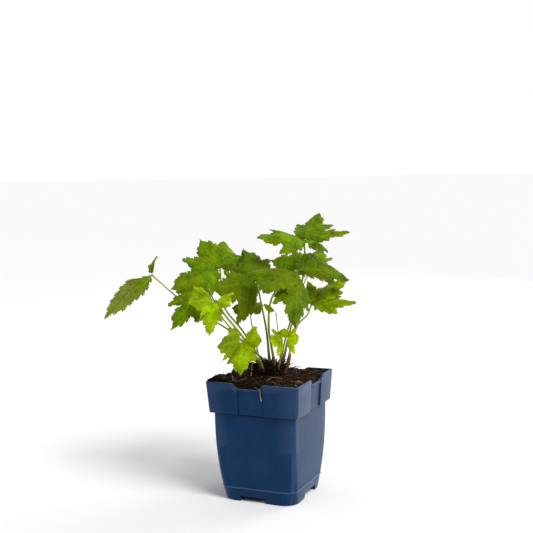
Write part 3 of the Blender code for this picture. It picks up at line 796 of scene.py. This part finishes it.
def build_pot(finish):
    rings = base_rings() + body_rings() + collar_rings() + inner_body_rings()
    points, faces = loft(rings, close_first=True, close_last=True)
    pot = new_object("nursery_pot", points, faces, [finish], smooth_angle=30)
    cutter = hole_cutter()
    cut = pot.modifiers.new("holes", "BOOLEAN")
    cut.object = cutter
    cut.solver = "EXACT"
    soften = pot.modifiers.new("soften", "BEVEL")
    soften.width = EDGE_ROUNDING
    soften.segments = 2
    soften.limit_method = "ANGLE"
    soften.angle_limit = math.radians(35)
    apply_modifiers(pot)
    bpy.data.objects.remove(cutter)
    pot.data.shade_smooth()
    pot.data.set_sharp_from_angle(angle=math.radians(50))
    # The edge value: a painted highlight on the raised line and the lip, and wear on the corners and the rim.
    set_values(pot, "edge", [wear_and_highlight(vertex.co) for vertex in pot.data.vertices])
    set_values(pot, "soiled", [soiling(vertex.co) for vertex in pot.data.vertices])
    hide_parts("pot")


# ---- soil

def plateau():
    return POT_HEIGHT + SOIL_MOUND


def heap_share(x, y):
    return math.exp(-((x - HEAP_PLACE[0]) ** 2 + (y - HEAP_PLACE[1]) ** 2) / (2 * HEAP_SPREAD ** 2))


def place_along_side(x, y):
    """Where a place over the pot lies along the side that it is nearest to."""
    if abs(y) > abs(x):
        return x if y < 0 else -x
    return -y if x > 0 else y


def soil_level(x, y):
    """Mean level of the soil: a low mound, heaped in the front left corner and lower at the lip's dips."""
    edge = POT_HEIGHT - SOIL_EDGE_DROP
    flat = CROWN_RADIUS + 2 * MM
    fall = clamped((math.hypot(x, y) - flat) / (POT_WIDTH * 0.46 - flat))
    mound = between(plateau(), edge, eased(fall)) + heap_share(x, y) * HEAP_HEIGHT
    reach = POT_WIDTH / 2 - WALL
    at_wall = eased((max(abs(x), abs(y)) / reach - 0.86) / 0.12)
    left = eased((HEAP_PLACE[0] - x) / (4 * MM)) * LEFT_HEAP_HEIGHT
    return between(mound, rim_level(edge)(place_along_side(x, y)), at_wall) + left


def soil_surface(x, y):
    """The soil's level with its crumbs, at a place over the pot."""
    spot = Vector((x, y, 0))
    rough = noise.fractal(spot / (6 * MM), 1.0, 2.0, 4) * 0.8 * MM
    clods = noise.voronoi(spot / (3.2 * MM))[0][0] * -0.9 * MM
    return soil_level(x, y) + rough + clods


def on_soil(x, y, lift):
    """A place over the soil. All three are in millimetres."""
    return Vector((x * MM, y * MM, soil_surface(x * MM, y * MM) + lift * MM))


def build_soil(finish):
    """The soil that fills the pot: plain sides and a rough top."""
    inset = WALL + SOIL_GAP
    edge = POT_HEIGHT - SOIL_DROP - SOIL_SIDE_DROP
    floor = FLOOR_TOP + SOIL_GAP
    rings = [pot_ring(floor, inset)]
    for share in (0.25, 0.5, 0.75):
        rings.append(pot_ring(between(floor, COLLAR_LOW, share), inset))
    rings.append(pot_ring(COLLAR_LOW + WALL, inset, at=COLLAR_LOW))
    rings.append(pot_ring(COLLAR_LOW + 1.5 * WALL, inset, PANEL_DEPTH, at=COLLAR_LOW + WALL))
    rings.append(pot_ring(edge, inset, PANEL_DEPTH, rim_level(edge)))
    rings = [finer_ring(ring, 3) for ring in rings]
    top = rings[-1]
    count = 46
    for step in range(count):
        places = [(p.x * (1 - step / count), p.y * (1 - step / count)) for p in top]
        rings.append([Vector((x, y, soil_surface(x, y))) for x, y in places])
    points, faces = loft(rings, close_first=True, close_last=True)
    soil = new_object("peat_soil", points, faces, [finish], smooth_angle=180)
    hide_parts("soil")


def finer_ring(ring, parts):
    fine = []
    for i, point in enumerate(ring):
        following = ring[(i + 1) % len(ring)]
        fine += [point.lerp(following, k / parts) for k in range(parts)]
    return fine


def soil_place(draw, margin=2.5 * MM):
    """A random place over the soil, inside the pot's wall."""
    reach = pot_half_width(POT_HEIGHT - 5 * MM) - WALL - PANEL_DEPTH - margin
    return draw.uniform(-reach, reach), draw.uniform(-reach, reach)


def crumb_shape(draw, size, stretch):
    """A small irregular lump: a squashed, jittered ball in a random position."""
    work = bmesh.new()
    bmesh.ops.create_icosphere(work, subdivisions=1, radius=size)
    heading = Matrix.Rotation(draw.uniform(0, math.tau), 3, "Z")
    turn = heading @ Matrix.Rotation(draw.uniform(-0.7, 0.7), 3, "X")
    points = []
    for vertex in work.verts:
        p = vertex.co * draw.uniform(0.72, 1.15)
        points.append(turn @ Vector((p.x * stretch, p.y, p.z * 0.62)))
    faces = [tuple(v.index for v in face.verts) for face in work.faces]
    work.free()
    return points, faces


def build_crumbs(finish):
    """Loose crumbs and bark chips over the soil. Every ninth is a large one."""
    draw = random.Random(4)
    bits = MeshParts()
    for i in range(CRUMBS):
        x, y = soil_place(draw)
        size = draw.uniform(0.35, 0.9) * MM if i % 9 else draw.uniform(0.9, 1.9) * MM
        points, faces = crumb_shape(draw, size, draw.uniform(0.8, 1.9))
        base = Vector((x, y, soil_surface(x, y) + size * 0.2))
        bits.add([base + p for p in points], faces, draw.random() ** 1.6)
    bits.build("soil_crumbs", finish)


def fibre_line(draw, start, heading, length, bend, rise):
    """A wandering line over the soil."""
    line = []
    place = start.copy()
    steps = 9
    for i in range(steps):
        line.append(place.copy())
        heading += draw.uniform(-bend, bend)
        place += Vector((math.cos(heading), math.sin(heading), 0)) * (length / steps)
        ground = soil_surface(place.x, place.y)
        place.z = between(place.z, ground + rise * math.sin(math.pi * i / steps), 0.6)
    return line


def build_fibres(finish):
    """Fine roots and peat fibres that lie on the soil, tan to reddish brown."""
    draw = random.Random(11)
    bits = MeshParts()
    limit = pot_half_width(POT_HEIGHT) - 4 * MM
    for _ in range(FIBRES):
        x, y = soil_place(draw, 5 * MM)
        start = Vector((x, y, soil_surface(x, y) + 0.3 * MM))
        length = draw.uniform(4, 15) * MM
        line = fibre_line(draw, start, draw.uniform(0, math.tau), length, 0.5, draw.uniform(0.2, 1.3) * MM)
        line = [Vector((clamped(p.x, -limit, limit), clamped(p.y, -limit, limit), p.z)) for p in line]
        radius = draw.uniform(0.10, 0.27) * MM
        bits.tube(line, [radius * (1 - 0.5 * i / 8) for i in range(9)], 4, draw.random())
    bits.build("soil_fibres", finish)


# Straws and short roots on the soil: three places, each x, y and its height over the soil, then the radius,
# all in millimetres, and the tone.
STRAWS = [
    ((-11, -19, 0.3), (-12, -15, 6), (-13, -11, 12), 0.50, 0.86),
    ((-22, 2, 0.6), (-12, 12, 1.6), (0, 24, 1.0), 0.45, 0.62),
    ((9, -30, 0.5), (13, -24, 1.8), (21, -21, 0.8), 0.5, 0.55),
    ((13, 3, 0.3), (12, 5, 3.5), (10, 8, 7.0), 0.34, 0.6),
    ((22, 8, 0.3), (22, 11, 3.0), (24, 15, 5.5), 0.34, 0.5),
    ((-30, -22, 0.4), (-26, -27, 1.2), (-19, -31, 0.6), 0.4, 0.45),
    ((-21, -36, 0.4), (-24, -31, 3.0), (-25, -26, 1.0), 0.34, 0.72),
    ((-19, -33, 0.3), (-21, -35, 1.5), (-26, -28, 3.4), 0.30, 0.66),
    ((-30, 22, 0.4), (-22, 27, 1.3), (-12, 30, 0.5), 0.4, 0.55),
]
CHIP_HEADINGS = (0.3, 1.4, 2.5, 3.5, 4.6, 5.5)
LIP = (POT_HEIGHT - LIP_DIP) / MM
LIP_ROOT = [(2.0, -40.5, LIP + 1.9), (5.5, -43.0, LIP + 1.5), (8.6, -45.0, LIP + 0.9),
            (9.8, -46.1, LIP - 2.0), (9.9, -45.9, LIP - 5.5), (10.6, -45.6, LIP - 9.0)]


def add_straw(bits, places, radius, tone, flat=1.0):
    line = smooth_route([on_soil(*place) for place in places], 5)
    last = len(line) - 1
    radii = [radius * MM * (1 - 0.35 * i / last) for i in range(last + 1)]
    bits.tube(line, radii, 7, tone, flat)


def build_straws(finish):
    """The few large pieces that stand out on the soil: straws, a star-shaped chip and a root over the lip."""
    bits = MeshParts()
    for *places, radius, tone in STRAWS:
        add_straw(bits, places, radius, tone)
    x, y = CHIP_PLACE
    for heading in CHIP_HEADINGS:
        reach = 3.6 if heading in (0.3, 3.5) else 2.6
        tip = (x + reach * math.cos(heading), y + reach * math.sin(heading), 1.4)
        add_straw(bits, [(x, y, 1.8), tip], 0.45, 0.62, flat=0.5)
    line = smooth_route([Vector(place) * MM for place in LIP_ROOT], 5)
    last = len(line) - 1
    tones = [0.45 + 0.55 * (i / last) ** 2 for i in range(last + 1)]
    bits.tube(line, [between(0.42, 0.3, i / last) * MM for i in range(last + 1)], 8, tones)
    bits.build("straw_and_root", finish)


# ---- crown

def crown_level(x, y):
    share = min(1.0, math.hypot(x, y) / CROWN_RADIUS)
    return plateau() + 0.3 * MM + CROWN_EDGE + (CROWN_HEIGHT - CROWN_EDGE) * (1 - share ** 2)


def crown_mound():
    """The crown's rough surface, from below the soil up to its top."""
    rings = []
    sides = 72
    steps = 18
    for step in range(steps):
        share = 1.02 - step / steps
        sunk = 3 * MM if step == 0 else 0.0
        ring = []
        for i in range(sides):
            angle = math.tau * i / sides
            x = CROWN_RADIUS * share * math.cos(angle)
            y = CROWN_RADIUS * share * math.sin(angle)
            rough = noise.fractal(Vector((x, y, 3)) / (4 * MM), 1.0, 2.0, 4) * 1.5 * MM
            ring.append(Vector((x, y, crown_level(x, y) - 0.8 * MM - sunk + rough)))
        rings.append(ring)
    return loft(rings, close_last=True)


def scale_foot(draw, feet):
    """Where an old scale stands: near a stalk's foot, or anywhere on the crown."""
    if draw.random() < 0.6:
        return draw.choice(feet) + Vector((draw.gauss(0, 2.6), draw.gauss(0, 2.6))) * MM
    angle = draw.uniform(0, math.tau)
    reach = CROWN_RADIUS * draw.random() ** 0.5
    return Vector((reach * math.cos(angle), reach * math.sin(angle)))


def build_crown(finish):
    """The plant's crown: a matted mound with old leaf bases and scales."""
    draw = random.Random(23)
    bits = MeshParts()
    points, faces = crown_mound()
    bits.add(points, faces, 0.08)
    feet = [Vector(leaf.foot) * MM for leaf in LEAVES]
    for _ in range(CROWN_SCALES):
        foot = scale_foot(draw, feet)
        lean = Vector((foot.x, foot.y)) * draw.uniform(0.1, 0.6)
        lean += Vector((draw.gauss(0, 1), draw.gauss(0, 1))) * MM
        base = Vector((foot.x, foot.y, crown_level(foot.x, foot.y) - 1.5 * MM))
        tall = draw.uniform(2.0, 5.5) * MM
        middle = base + Vector((lean.x * 0.3, lean.y * 0.3, tall * 0.55))
        tip = base + Vector((lean.x, lean.y, tall))
        line = smooth_route([base, middle, tip], 3)
        width = draw.uniform(0.35, 1.1) * MM
        radii = [width * between(1.0, 0.15, (i / 6) ** 1.5) for i in range(7)]
        bits.tube(line, radii, 5, draw.random() ** 2 * 0.9, flat=draw.uniform(0.35, 0.9))
    crown = bits.build("root_crown", finish)
    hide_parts("crown")


def build_stub(finish):
    """A broken old stem with a torn, paler top."""
    low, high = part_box("old_stem_stub")
    foot = Vector((low.x + 1.6 * MM, (low.y + high.y) / 2, low.z - 2 * MM))
    head = Vector((high.x - 1.4 * MM, (low.y + high.y) / 2, high.z - 0.6 * MM))
    line = smooth_route([foot, foot.lerp(head, 0.5) + Vector((0.6, 0, 0)) * MM, head], 6)
    sides = 14
    last = len(line) - 1
    radii = [between(1.75, 1.15, i / last) * MM for i in range(last + 1)]
    rings = tube_rings(line, radii, sides)
    axis = (head - foot).normalized()
    for i, ring in enumerate(rings):
        for k in range(sides):
            ragged = 0.25 * MM * noise.noise(Vector((k * 1.7, i * 0.8, 5)))
            ring[k] += (ring[k] - line[i]).normalized() * ragged
    for k in range(sides):
        rings[last][k] += axis * (0.9 * MM * math.sin(2.5 * k) - 0.9 * MM)
    points, faces = loft(rings, close_first=True, close_last=True)
    tones = [between(0.15, 0.5, i / last) if i < last - 1 else 0.95 for i in range(last + 1)]
    bits = MeshParts()
    bits.add(points, faces, [tone for tone in tones for _ in range(sides)] + [0.15, 1.0])
    stub = bits.build("broken_stem", finish)
    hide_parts("old_stem_stub")


# ---- leaf stalks

def plant_point(place):
    """A place in millimetres over the plant's level, as a point of the model."""
    x, y, z = place
    return Vector((x * MM, y * MM, z * MM + PLANT_LEVEL))


def petiole_line(leaf):
    x, y = leaf.foot[0] * MM, leaf.foot[1] * MM
    foot = Vector((x, y, crown_level(x, y) - 2.5 * MM))
    above = Vector((x, y, crown_level(x, y) + 1.0 * MM))
    route = [above] + [plant_point(p) for p in leaf.via] + [plant_point(leaf.hub)]
    return [foot] + smooth_route(route, 14)


def stalk_tone(leaf, share):
    """How green a stalk is: purple only at its foot, or most of the way up on some leaves."""
    return clamped(0.15 + 0.7 * share if leaf.name in PURPLE_STALKS else 0.02 + 3.2 * share)


def build_petiole(leaf, finish):
    """A leaf's stalk: swollen at its foot, tapering, and thickened where the leaflets meet."""
    line = petiole_line(leaf)
    last = len(line) - 1
    radii = []
    for i in range(last + 1):
        share = i / last
        size = leaf.radius * MM * between(1.05, 0.72, share)
        size *= 1 + 0.55 * math.exp(-share * 16) + 0.45 * math.exp(-((1 - share) * 22) ** 2)
        size *= 1 + 0.05 * noise.noise(Vector((share * 9, leaf.radius * 7, 1)))
        radii.append(size)
    bits = MeshParts()
    bits.tube(line, radii, 10, [stalk_tone(leaf, i / last) for i in range(last + 1)])
    stalk = bits.build(leaf.name + "_stalk", finish, smooth_angle=180)
    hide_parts(leaf.name + "_petiole")


# ---- leaflets

COLUMNS = 8  # from the midrib out to each margin
ROWS_PER_TOOTH = 4
TEETH_PER_VEIN = 3
TOOTH_SPACING = 2.9  # along the margin, in millimetres
TOOTH_SIZE = 0.85  # in millimetres, on a leaflet of medium length
LOBE_SIZE = 2.2  # of the small lobe round each side vein's end, in teeth
LOBE_PEAK = 0.7  # where between two veins' gaps a small lobe is widest
TOOTH_PROFILE = (0.0, 0.55, 1.0, 0.12)  # how far out each of a tooth's rows stands
PILLOW = 0.6  # height of the sheet between two veins, in millimetres on a leaflet of medium length
MIDRIB_SINK = 0.35
MARGIN_CURL = 1.1
VEIN_WIDTH = 0.20  # in teeth
MIDRIB_WIDTH = 0.05  # as a share of the half-width
BUCKLE = 1.5  # height of the sheet's slow, irregular waves
BUCKLE_LENGTH = 11 * MM
SHEET = 0.30 * MM  # a leaflet's thickness
LEAST_VEIN = 4 * MM  # side veins shorter than this aren't raised
LEAST_VEIN_STEP = 0.05 * MM


class BladeSurface:
    """Where the points of a leaflet lie: an arched, folded sheet from the leaf's hub to its tip."""

    def __init__(self, blade, hub):
        heading, pitch, roll = (math.radians(a) for a in (blade.heading, blade.pitch, blade.roll))
        level_along = Vector((math.cos(heading), math.sin(heading), 0))
        self.along = level_along * math.cos(pitch) + Vector((0, 0, math.sin(pitch)))
        flat_up = level_along * -math.sin(pitch) + Vector((0, 0, math.cos(pitch)))
        flat_left = flat_up.cross(self.along)
        self.up = flat_up * math.cos(roll) - flat_left * math.sin(roll)
        self.left = self.up.cross(self.along)
        self.blade = blade
        self.hub = hub
        self.arch = math.radians(max(blade.droop, 1))
        self.radius = blade.length * MM / (2 * math.sin(self.arch / 2))
        self.start = BLADE_START / (blade.length * MM)

    def point(self, share, side, lift):
        """share runs along the midrib from the leaflet's base, side from -1 (right) to 1 (left)."""
        blade = self.blade
        out = side * (blade.left if side > 0 else blade.right) * MM
        angle = self.arch * (between(self.start, 1.0, share) - 0.5)
        run = self.radius * (math.sin(angle) + math.sin(self.arch / 2)) + blade.skew * out
        rise = self.radius * (math.cos(angle) - math.cos(self.arch / 2))
        local_up = self.up * math.cos(angle) + self.along * math.sin(angle)
        fold = math.radians(blade.fold)
        place = self.hub + self.along * run + self.up * rise
        place += self.left * (out * math.cos(fold)) + local_up * (abs(out) * math.sin(fold))
        return place + local_up * lift


def half_margin(style):
    """The margin of half a leaflet from base to tip, and where on the midrib each point's vein begins."""
    knots = [Vector((x, y, 0)) for x, y in HALF_OUTLINES[style]]
    per_span = 12
    margin, roots = [], []
    for i, rounded in enumerate(smooth_route(knots, per_span)):
        k = min(i // per_span, len(knots) - 2)
        part = i / per_span - k
        margin.append(rounded.lerp(knots[k].lerp(knots[k + 1], part), LOBE_SHARPNESS))
        roots.append(between(VEIN_ROOTS[k], VEIN_ROOTS[k + 1], part))
    return margin, roots


def margin_rows(blade):
    """The rows of a leaflet's sheet: [(share on the midrib, margin at right, margin at left)], in
    shares, with a whole number of teeth."""
    right, roots = half_margin(blade.shape[1])
    left, _ = half_margin(blade.shape[0])
    travelled = [0.0]
    for i in range(1, len(right)):
        step = 0.0
        for line, width in ((right, blade.right), (left, blade.left)):
            change = line[i] - line[i - 1]
            step += math.hypot(change.x * blade.length, change.y * width) / 2
        travelled.append(travelled[-1] + step)
    teeth = max(6, round(travelled[-1] / TOOTH_SPACING))
    count = teeth * ROWS_PER_TOOTH
    rows = []
    at = 0
    for row in range(count + 1):
        goal = travelled[-1] * row / count
        while at < len(travelled) - 2 and travelled[at + 1] < goal:
            at += 1
        part = clamped((goal - travelled[at]) / max(travelled[at + 1] - travelled[at], 1e-9))
        rows.append((
            between(roots[at], roots[at + 1], part),
            right[at].lerp(right[at + 1], part),
            left[at].lerp(left[at + 1], part),
        ))
    return rows


def tooth_offsets(rows, blade, side, draw):
    """How far each row's margin moves for the teeth, in shares: outwards and towards the tip."""
    width = blade.right if side < 0 else blade.left
    line = [row[1] if side < 0 else row[2] for row in rows]
    size = TOOTH_SIZE * min(1.25, 0.45 + blade.length / 55)
    teeth = [draw.uniform(0.7, 1.35) for _ in range(len(rows) // ROWS_PER_TOOTH + 2)]
    offsets = []
    last = len(rows) - 1
    for i in range(last + 1):
        ahead = line[min(i + 1, last)] - line[max(i - 1, 0)]
        along = Vector((ahead.x * blade.length, ahead.y * width, 0))
        along = along.normalized() if along.length > 1e-6 else Vector((1, 0, 0))
        out = Vector((-along.y, along.x, 0))
        if out.y < 0 and abs(out.y) > abs(out.x):
            out = -out
        tooth = i // ROWS_PER_TOOTH
        swell = (i / (ROWS_PER_TOOTH * TEETH_PER_VEIN)) % 1.0
        swell = swell / LOBE_PEAK if swell < LOBE_PEAK else (1 - swell) / (1 - LOBE_PEAK)
        tooth_out = TOOTH_PROFILE[i % ROWS_PER_TOOTH] * teeth[tooth]
        amount = size * (tooth_out + LOBE_SIZE * (swell - 0.4))
        ends = clamped(min(i / 6, (last - i) / 12))
        shift = (out * amount + along * amount * 0.55) * ends
        offsets.append(Vector((shift.x / blade.length, shift.y / width, 0)))
    return offsets


def quilted(row, reach, size, phase, wave):
    """Height of the sheet over its mean surface, and how much of a vein is there. row counts teeth."""
    part = (row / TEETH_PER_VEIN - LOBE_PEAK) % 1.0
    pillow = math.sin(math.pi * part) ** 0.7
    body = math.sin(math.pi * clamped(reach) ** 0.8) ** 0.8 if reach < 1 else 0.0
    lift = PILLOW * pillow * body - MIDRIB_SINK * math.exp(-(reach / 0.07) ** 2)
    ripple = wave * reach ** 2 * math.sin(row * 0.62 + phase)
    curl = -MARGIN_CURL * reach ** 3
    nearest = min(part, 1 - part) * TEETH_PER_VEIN
    side_vein = math.exp(-(nearest / VEIN_WIDTH) ** 2) * (1 - 0.55 * reach)
    vein = max(side_vein, math.exp(-(reach / MIDRIB_WIDTH) ** 2))
    return (lift + ripple + curl) * size * MM, vein


def leaflet_grid(surface, rows, draw):
    """The leaflet's mid-surface as rows of (share, side, lift, vein, reach), from right to left."""
    blade = surface.blade
    size = clamped(blade.length / 45, 0.3, 1.15)
    phase = {-1: draw.uniform(0, 6), 1: draw.uniform(0, 6)}
    wave = {-1: draw.uniform(0.7, 1.5), 1: draw.uniform(0.7, 1.5)}
    offsets = {-1: tooth_offsets(rows, blade, -1, draw), 1: tooth_offsets(rows, blade, 1, draw)}
    grid = []
    for i, (root, right, left) in enumerate(rows):
        line = []
        for column in range(-COLUMNS, COLUMNS + 1):
            side = -1 if column < 0 else 1
            reach = (abs(column) / COLUMNS) ** 0.9
            margin = right if side < 0 else left
            shift = offsets[side][i] * reach ** 7
            share = root + (margin.x - root) * reach ** 1.2 + shift.x
            out = side * (margin.y * reach + shift.y)
            lift, vein = quilted(i / ROWS_PER_TOOTH, reach, size, phase[side], wave[side])
            spot = surface.point(share, out, 0) / BUCKLE_LENGTH
            lift += noise.noise(spot) * BUCKLE * size * MM
            line.append((share, out, lift, vein, reach))
        grid.append(line)
    return grid


def sheet_faces(rows, columns):
    """Faces of a closed sheet made of two grids of points, and the finish of each: 0 above and on the
    border, 1 below."""
    half = rows * columns
    faces = []
    indices = []
    for i in range(rows - 1):
        for k in range(columns - 1):
            a = i * columns + k
            b = a + columns
            faces.append((a, b, b + 1, a + 1))
            faces.append((half + a, half + a + 1, half + b + 1, half + b))
            indices += [0, 1]
    border = list(range(columns))
    border += [(i + 1) * columns - 1 for i in range(1, rows)]
    border += [(rows - 1) * columns + k for k in range(columns - 2, -1, -1)]
    border += [i * columns for i in range(rows - 2, 0, -1)]
    for a, b in zip(border, border[1:] + border[:1]):
        faces.append((a, b, half + b, half + a))
        indices.append(0)
    return faces, indices


def midrib(surface, grid, size):
    """The leaflet's own short stalk and its midrib, as one tapering vein."""
    base = -surface.start / (1 - surface.start)
    stalk = [surface.point(between(base, 0, k / 4), 0, -0.2 * MM) for k in range(4)]
    cells = [line[COLUMNS] for line in grid[::ROWS_PER_TOOTH]]
    whole = stalk + [surface.point(share, 0, lift - 0.25 * MM) for share, _, lift, _, _ in cells]
    line = whole[:1]
    line += [p for before, p in zip(whole, whole[1:]) if (p - before).length > LEAST_VEIN_STEP]
    radii = [between(0.62, 0.10, i / (len(line) - 1)) * size * MM for i in range(len(line))]
    return line, radii, 6


def raised_veins(surface, grid):
    """The veins that stand out under a leaflet: [(line, radii, sides)]."""
    size = clamped(surface.blade.length / 50, 0.35, 1.1)
    veins = [midrib(surface, grid, size)]
    step = ROWS_PER_TOOTH * TEETH_PER_VEIN
    for i in range(round(step * LOBE_PEAK), len(grid) - 4, step):
        for side in (-1, 1):
            cells = [grid[i][COLUMNS + side * k] for k in range(COLUMNS)]
            line = [surface.point(share, out, lift - 0.2 * MM) for share, out, lift, _, _ in cells]
            radii = [between(0.30, 0.08, k / COLUMNS) * size * MM for k in range(COLUMNS)]
            if (line[-1] - line[0]).length > LEAST_VEIN:
                veins.append((line, radii, 4))
    return veins


def build_leaflet(leaf, blade, finishes, draw):
    """One leaflet: a toothed sheet with an upper and a lower face, and raised veins under it."""
    surface = BladeSurface(blade, plant_point(leaf.hub))
    grid = leaflet_grid(surface, margin_rows(blade), draw)
    cells = [cell for line in grid for cell in line]
    points = []
    for side in (1, -1):
        points += [surface.point(share, out, lift + side * SHEET / 2) for share, out, lift, _, _ in cells]
    veins = [vein for _, _, _, vein, _ in cells] * 2
    margins = [reach for _, _, _, _, reach in cells] * 2
    faces, indices = sheet_faces(len(grid), 2 * COLUMNS + 1)
    for line, radii, sides in raised_veins(surface, grid):
        start = len(points)
        tube_points, tube_faces = loft(tube_rings(line, radii, sides), close_first=True, close_last=True)
        points += tube_points
        faces += [tuple(start + n for n in face) for face in tube_faces]
        indices += [2] * len(tube_faces)
        veins += [1.0] * len(tube_points)
        margins += [0.0] * len(tube_points)
    points = [kept_inside(p) for p in points]
    name = leaf.name + "_leaf_" + blade.name
    made = new_object(name, points, faces, finishes, indices, smooth_angle=180)
    set_values(made, "vein", veins)
    set_values(made, "margin", margins)
    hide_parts(leaf.name + "_leaflet_" + blade.name)


# ---- studio

CAMERA_PLACE = Vector((0.3511, -0.8077, 0.2952))
CAMERA_AZIMUTH = 23.61  # from looking along +Y, round to the right of the object
CAMERA_PITCH = -5.49
CAMERA_ROLL = -1.12
CAMERA_LENS = 65.5
KEY_DIRECTION = Vector((0.58, -0.27, 0.77))  # from the object towards the light
KEY_STRENGTH = 2.2
KEY_SOFTNESS = 25
BACK_LIGHT_PLACE = Vector((0.75, 1.30, 0.40))
BACK_LIGHT_AIM = Vector((0, 0, 0.13))
BACK_LIGHT_SIZE = 1.0
BACK_LIGHT_WATTS = 12.0
AMBIENT = 0.5
BACKGROUND = 1.0
FLOOR_REACH = 60
FLOOR_WHITE = (0.92, 0.92, 0.92, 1)


def build_camera():
    azimuth, pitch, roll = (math.radians(a) for a in (CAMERA_AZIMUTH, CAMERA_PITCH, CAMERA_ROLL))
    run = math.cos(pitch)
    ahead = Vector((-math.sin(azimuth) * run, math.cos(azimuth) * run, math.sin(pitch)))
    right = Matrix.Rotation(-roll, 3, ahead) @ ahead.cross(Vector((0, 0, 1))).normalized()
    axes = Matrix((right, right.cross(ahead), -ahead)).transposed().to_4x4()
    camera = bpy.data.cameras.new("camera")
    camera.lens = CAMERA_LENS
    camera.sensor_width = 36
    camera.clip_start = 0.01
    made = linked("camera", camera)
    made.matrix_world = Matrix.Translation(CAMERA_PLACE) @ axes
    bpy.context.scene.camera = made


def point_along(lamp, direction):
    """Turns a light to shine in a direction."""
    lamp.rotation_mode = "QUATERNION"
    lamp.rotation_quaternion = direction.to_track_quat("-Z", "Y")


def build_lights():
    """A broad key light from the front right, and a soft one from behind."""
    key = bpy.data.lights.new("key", "SUN")
    key.energy = KEY_STRENGTH
    key.angle = math.radians(KEY_SOFTNESS)
    point_along(linked("key", key), -KEY_DIRECTION)
    back = bpy.data.lights.new("back", "AREA")
    back.shape = "DISK"
    back.size = BACK_LIGHT_SIZE
    back.energy = BACK_LIGHT_WATTS
    lamp = linked("back", back)
    lamp.location = BACK_LIGHT_PLACE
    point_along(lamp, BACK_LIGHT_AIM - BACK_LIGHT_PLACE)


def build_surroundings():
    """White surroundings, which light the object less brightly than they look, and a white floor."""
    world = bpy.data.worlds.new("studio")
    world.use_nodes = True
    tree = world.node_tree
    rays = add_node(tree, "ShaderNodeLightPath")
    bright = arithmetic(tree, "MAXIMUM", rays.outputs["Is Camera Ray"], rays.outputs["Is Glossy Ray"])
    strength = spread(tree, bright, 0.0, 1.0, AMBIENT, BACKGROUND)
    tree.links.new(strength, tree.nodes["Background"].inputs["Strength"])
    tree.nodes["Background"].inputs["Color"].default_value = (1, 1, 1, 1)
    bpy.context.scene.world = world
    bpy.context.scene.view_settings.view_transform = "Standard"
    paper, _, _ = new_material("floor_paper", Roughness=0.9, Specular_IOR_Level=0.0, Base_Color=FLOOR_WHITE)
    mesh = bpy.data.meshes.new("floor")
    corners = [(-1, -1), (1, -1), (1, 1), (-1, 1)]
    mesh.from_pydata([(x * FLOOR_REACH, y * FLOOR_REACH, 0) for x, y in corners], [], [(0, 1, 2, 3)])
    mesh.materials.append(paper)
    floor = linked("floor", mesh)


# ---- assembly

# Lighter and darker copies of one leaf green, given to each leaf by how brightly it looks lit: painted light
# and shade. pale is lightest, for the small leaf that lies in shade.
LEAF_GREENS = {
    "deep": (0.090, 0.160, 0.0008),
    "mid": (0.115, 0.206, 0.0008),
    "lighter_lit": (0.185, 0.285, 0.0008),
    "bright": (0.225, 0.335, 0.0010),
    "pale": (0.340, 0.470, 0.0015),
}
CRUMB_COLORS = [
    (0.0, (0.0030, 0.0018, 0.0012)), (0.5, (0.016, 0.0085, 0.005)), (0.85, (0.055, 0.028, 0.014)),
    (1.0, (0.12, 0.065, 0.03)),
]
FIBRE_COLORS = [(0.0, (0.016, 0.007, 0.003)), (0.5, (0.095, 0.040, 0.014)), (1.0, (0.30, 0.175, 0.070))]
STRAW_COLORS = [(0.0, (0.020, 0.011, 0.006)), (0.5, (0.19, 0.100, 0.045)), (1.0, (0.50, 0.34, 0.20))]
CROWN_COLORS = [(0.0, (0.0035, 0.0022, 0.0016)), (0.4, (0.016, 0.009, 0.006)), (1.0, (0.085, 0.050, 0.028))]


def build_plant():
    under = leaf_under_material()
    # One upper-face material for each copy of the leaf green, lighter or darker as painted light and shade.
    tints = {tint: leaf_top_material("leaf_" + tint, green) for tint, green in LEAF_GREENS.items()}
    stalk = stalk_material("stalk", (0.330, 0.370, 0.030), (0.150, 0.090, 0.034))
    rib = stalk_material("leaf_rib", (0.270, 0.330, 0.110), (0.200, 0.220, 0.070))
    for number, leaf in enumerate(LEAVES):
        draw = random.Random(100 + number)
        build_petiole(leaf, stalk)
        for blade in leaf.blades:
            build_leaflet(leaf, blade, [tints[leaf.tint], under, rib], draw)


def main():
    build_camera()
    build_lights()
    build_surroundings()
    build_pot(pot_material())
    build_soil(soil_material())
    build_crumbs(crumb_material("crumbs", CRUMB_COLORS))
    build_fibres(crumb_material("fibres", FIBRE_COLORS))
    straw = crumb_material("straws", STRAW_COLORS, 0.75)
    build_straws(straw)
    build_crown(crumb_material("crown", CROWN_COLORS))
    build_stub(straw)
    build_plant()


main()
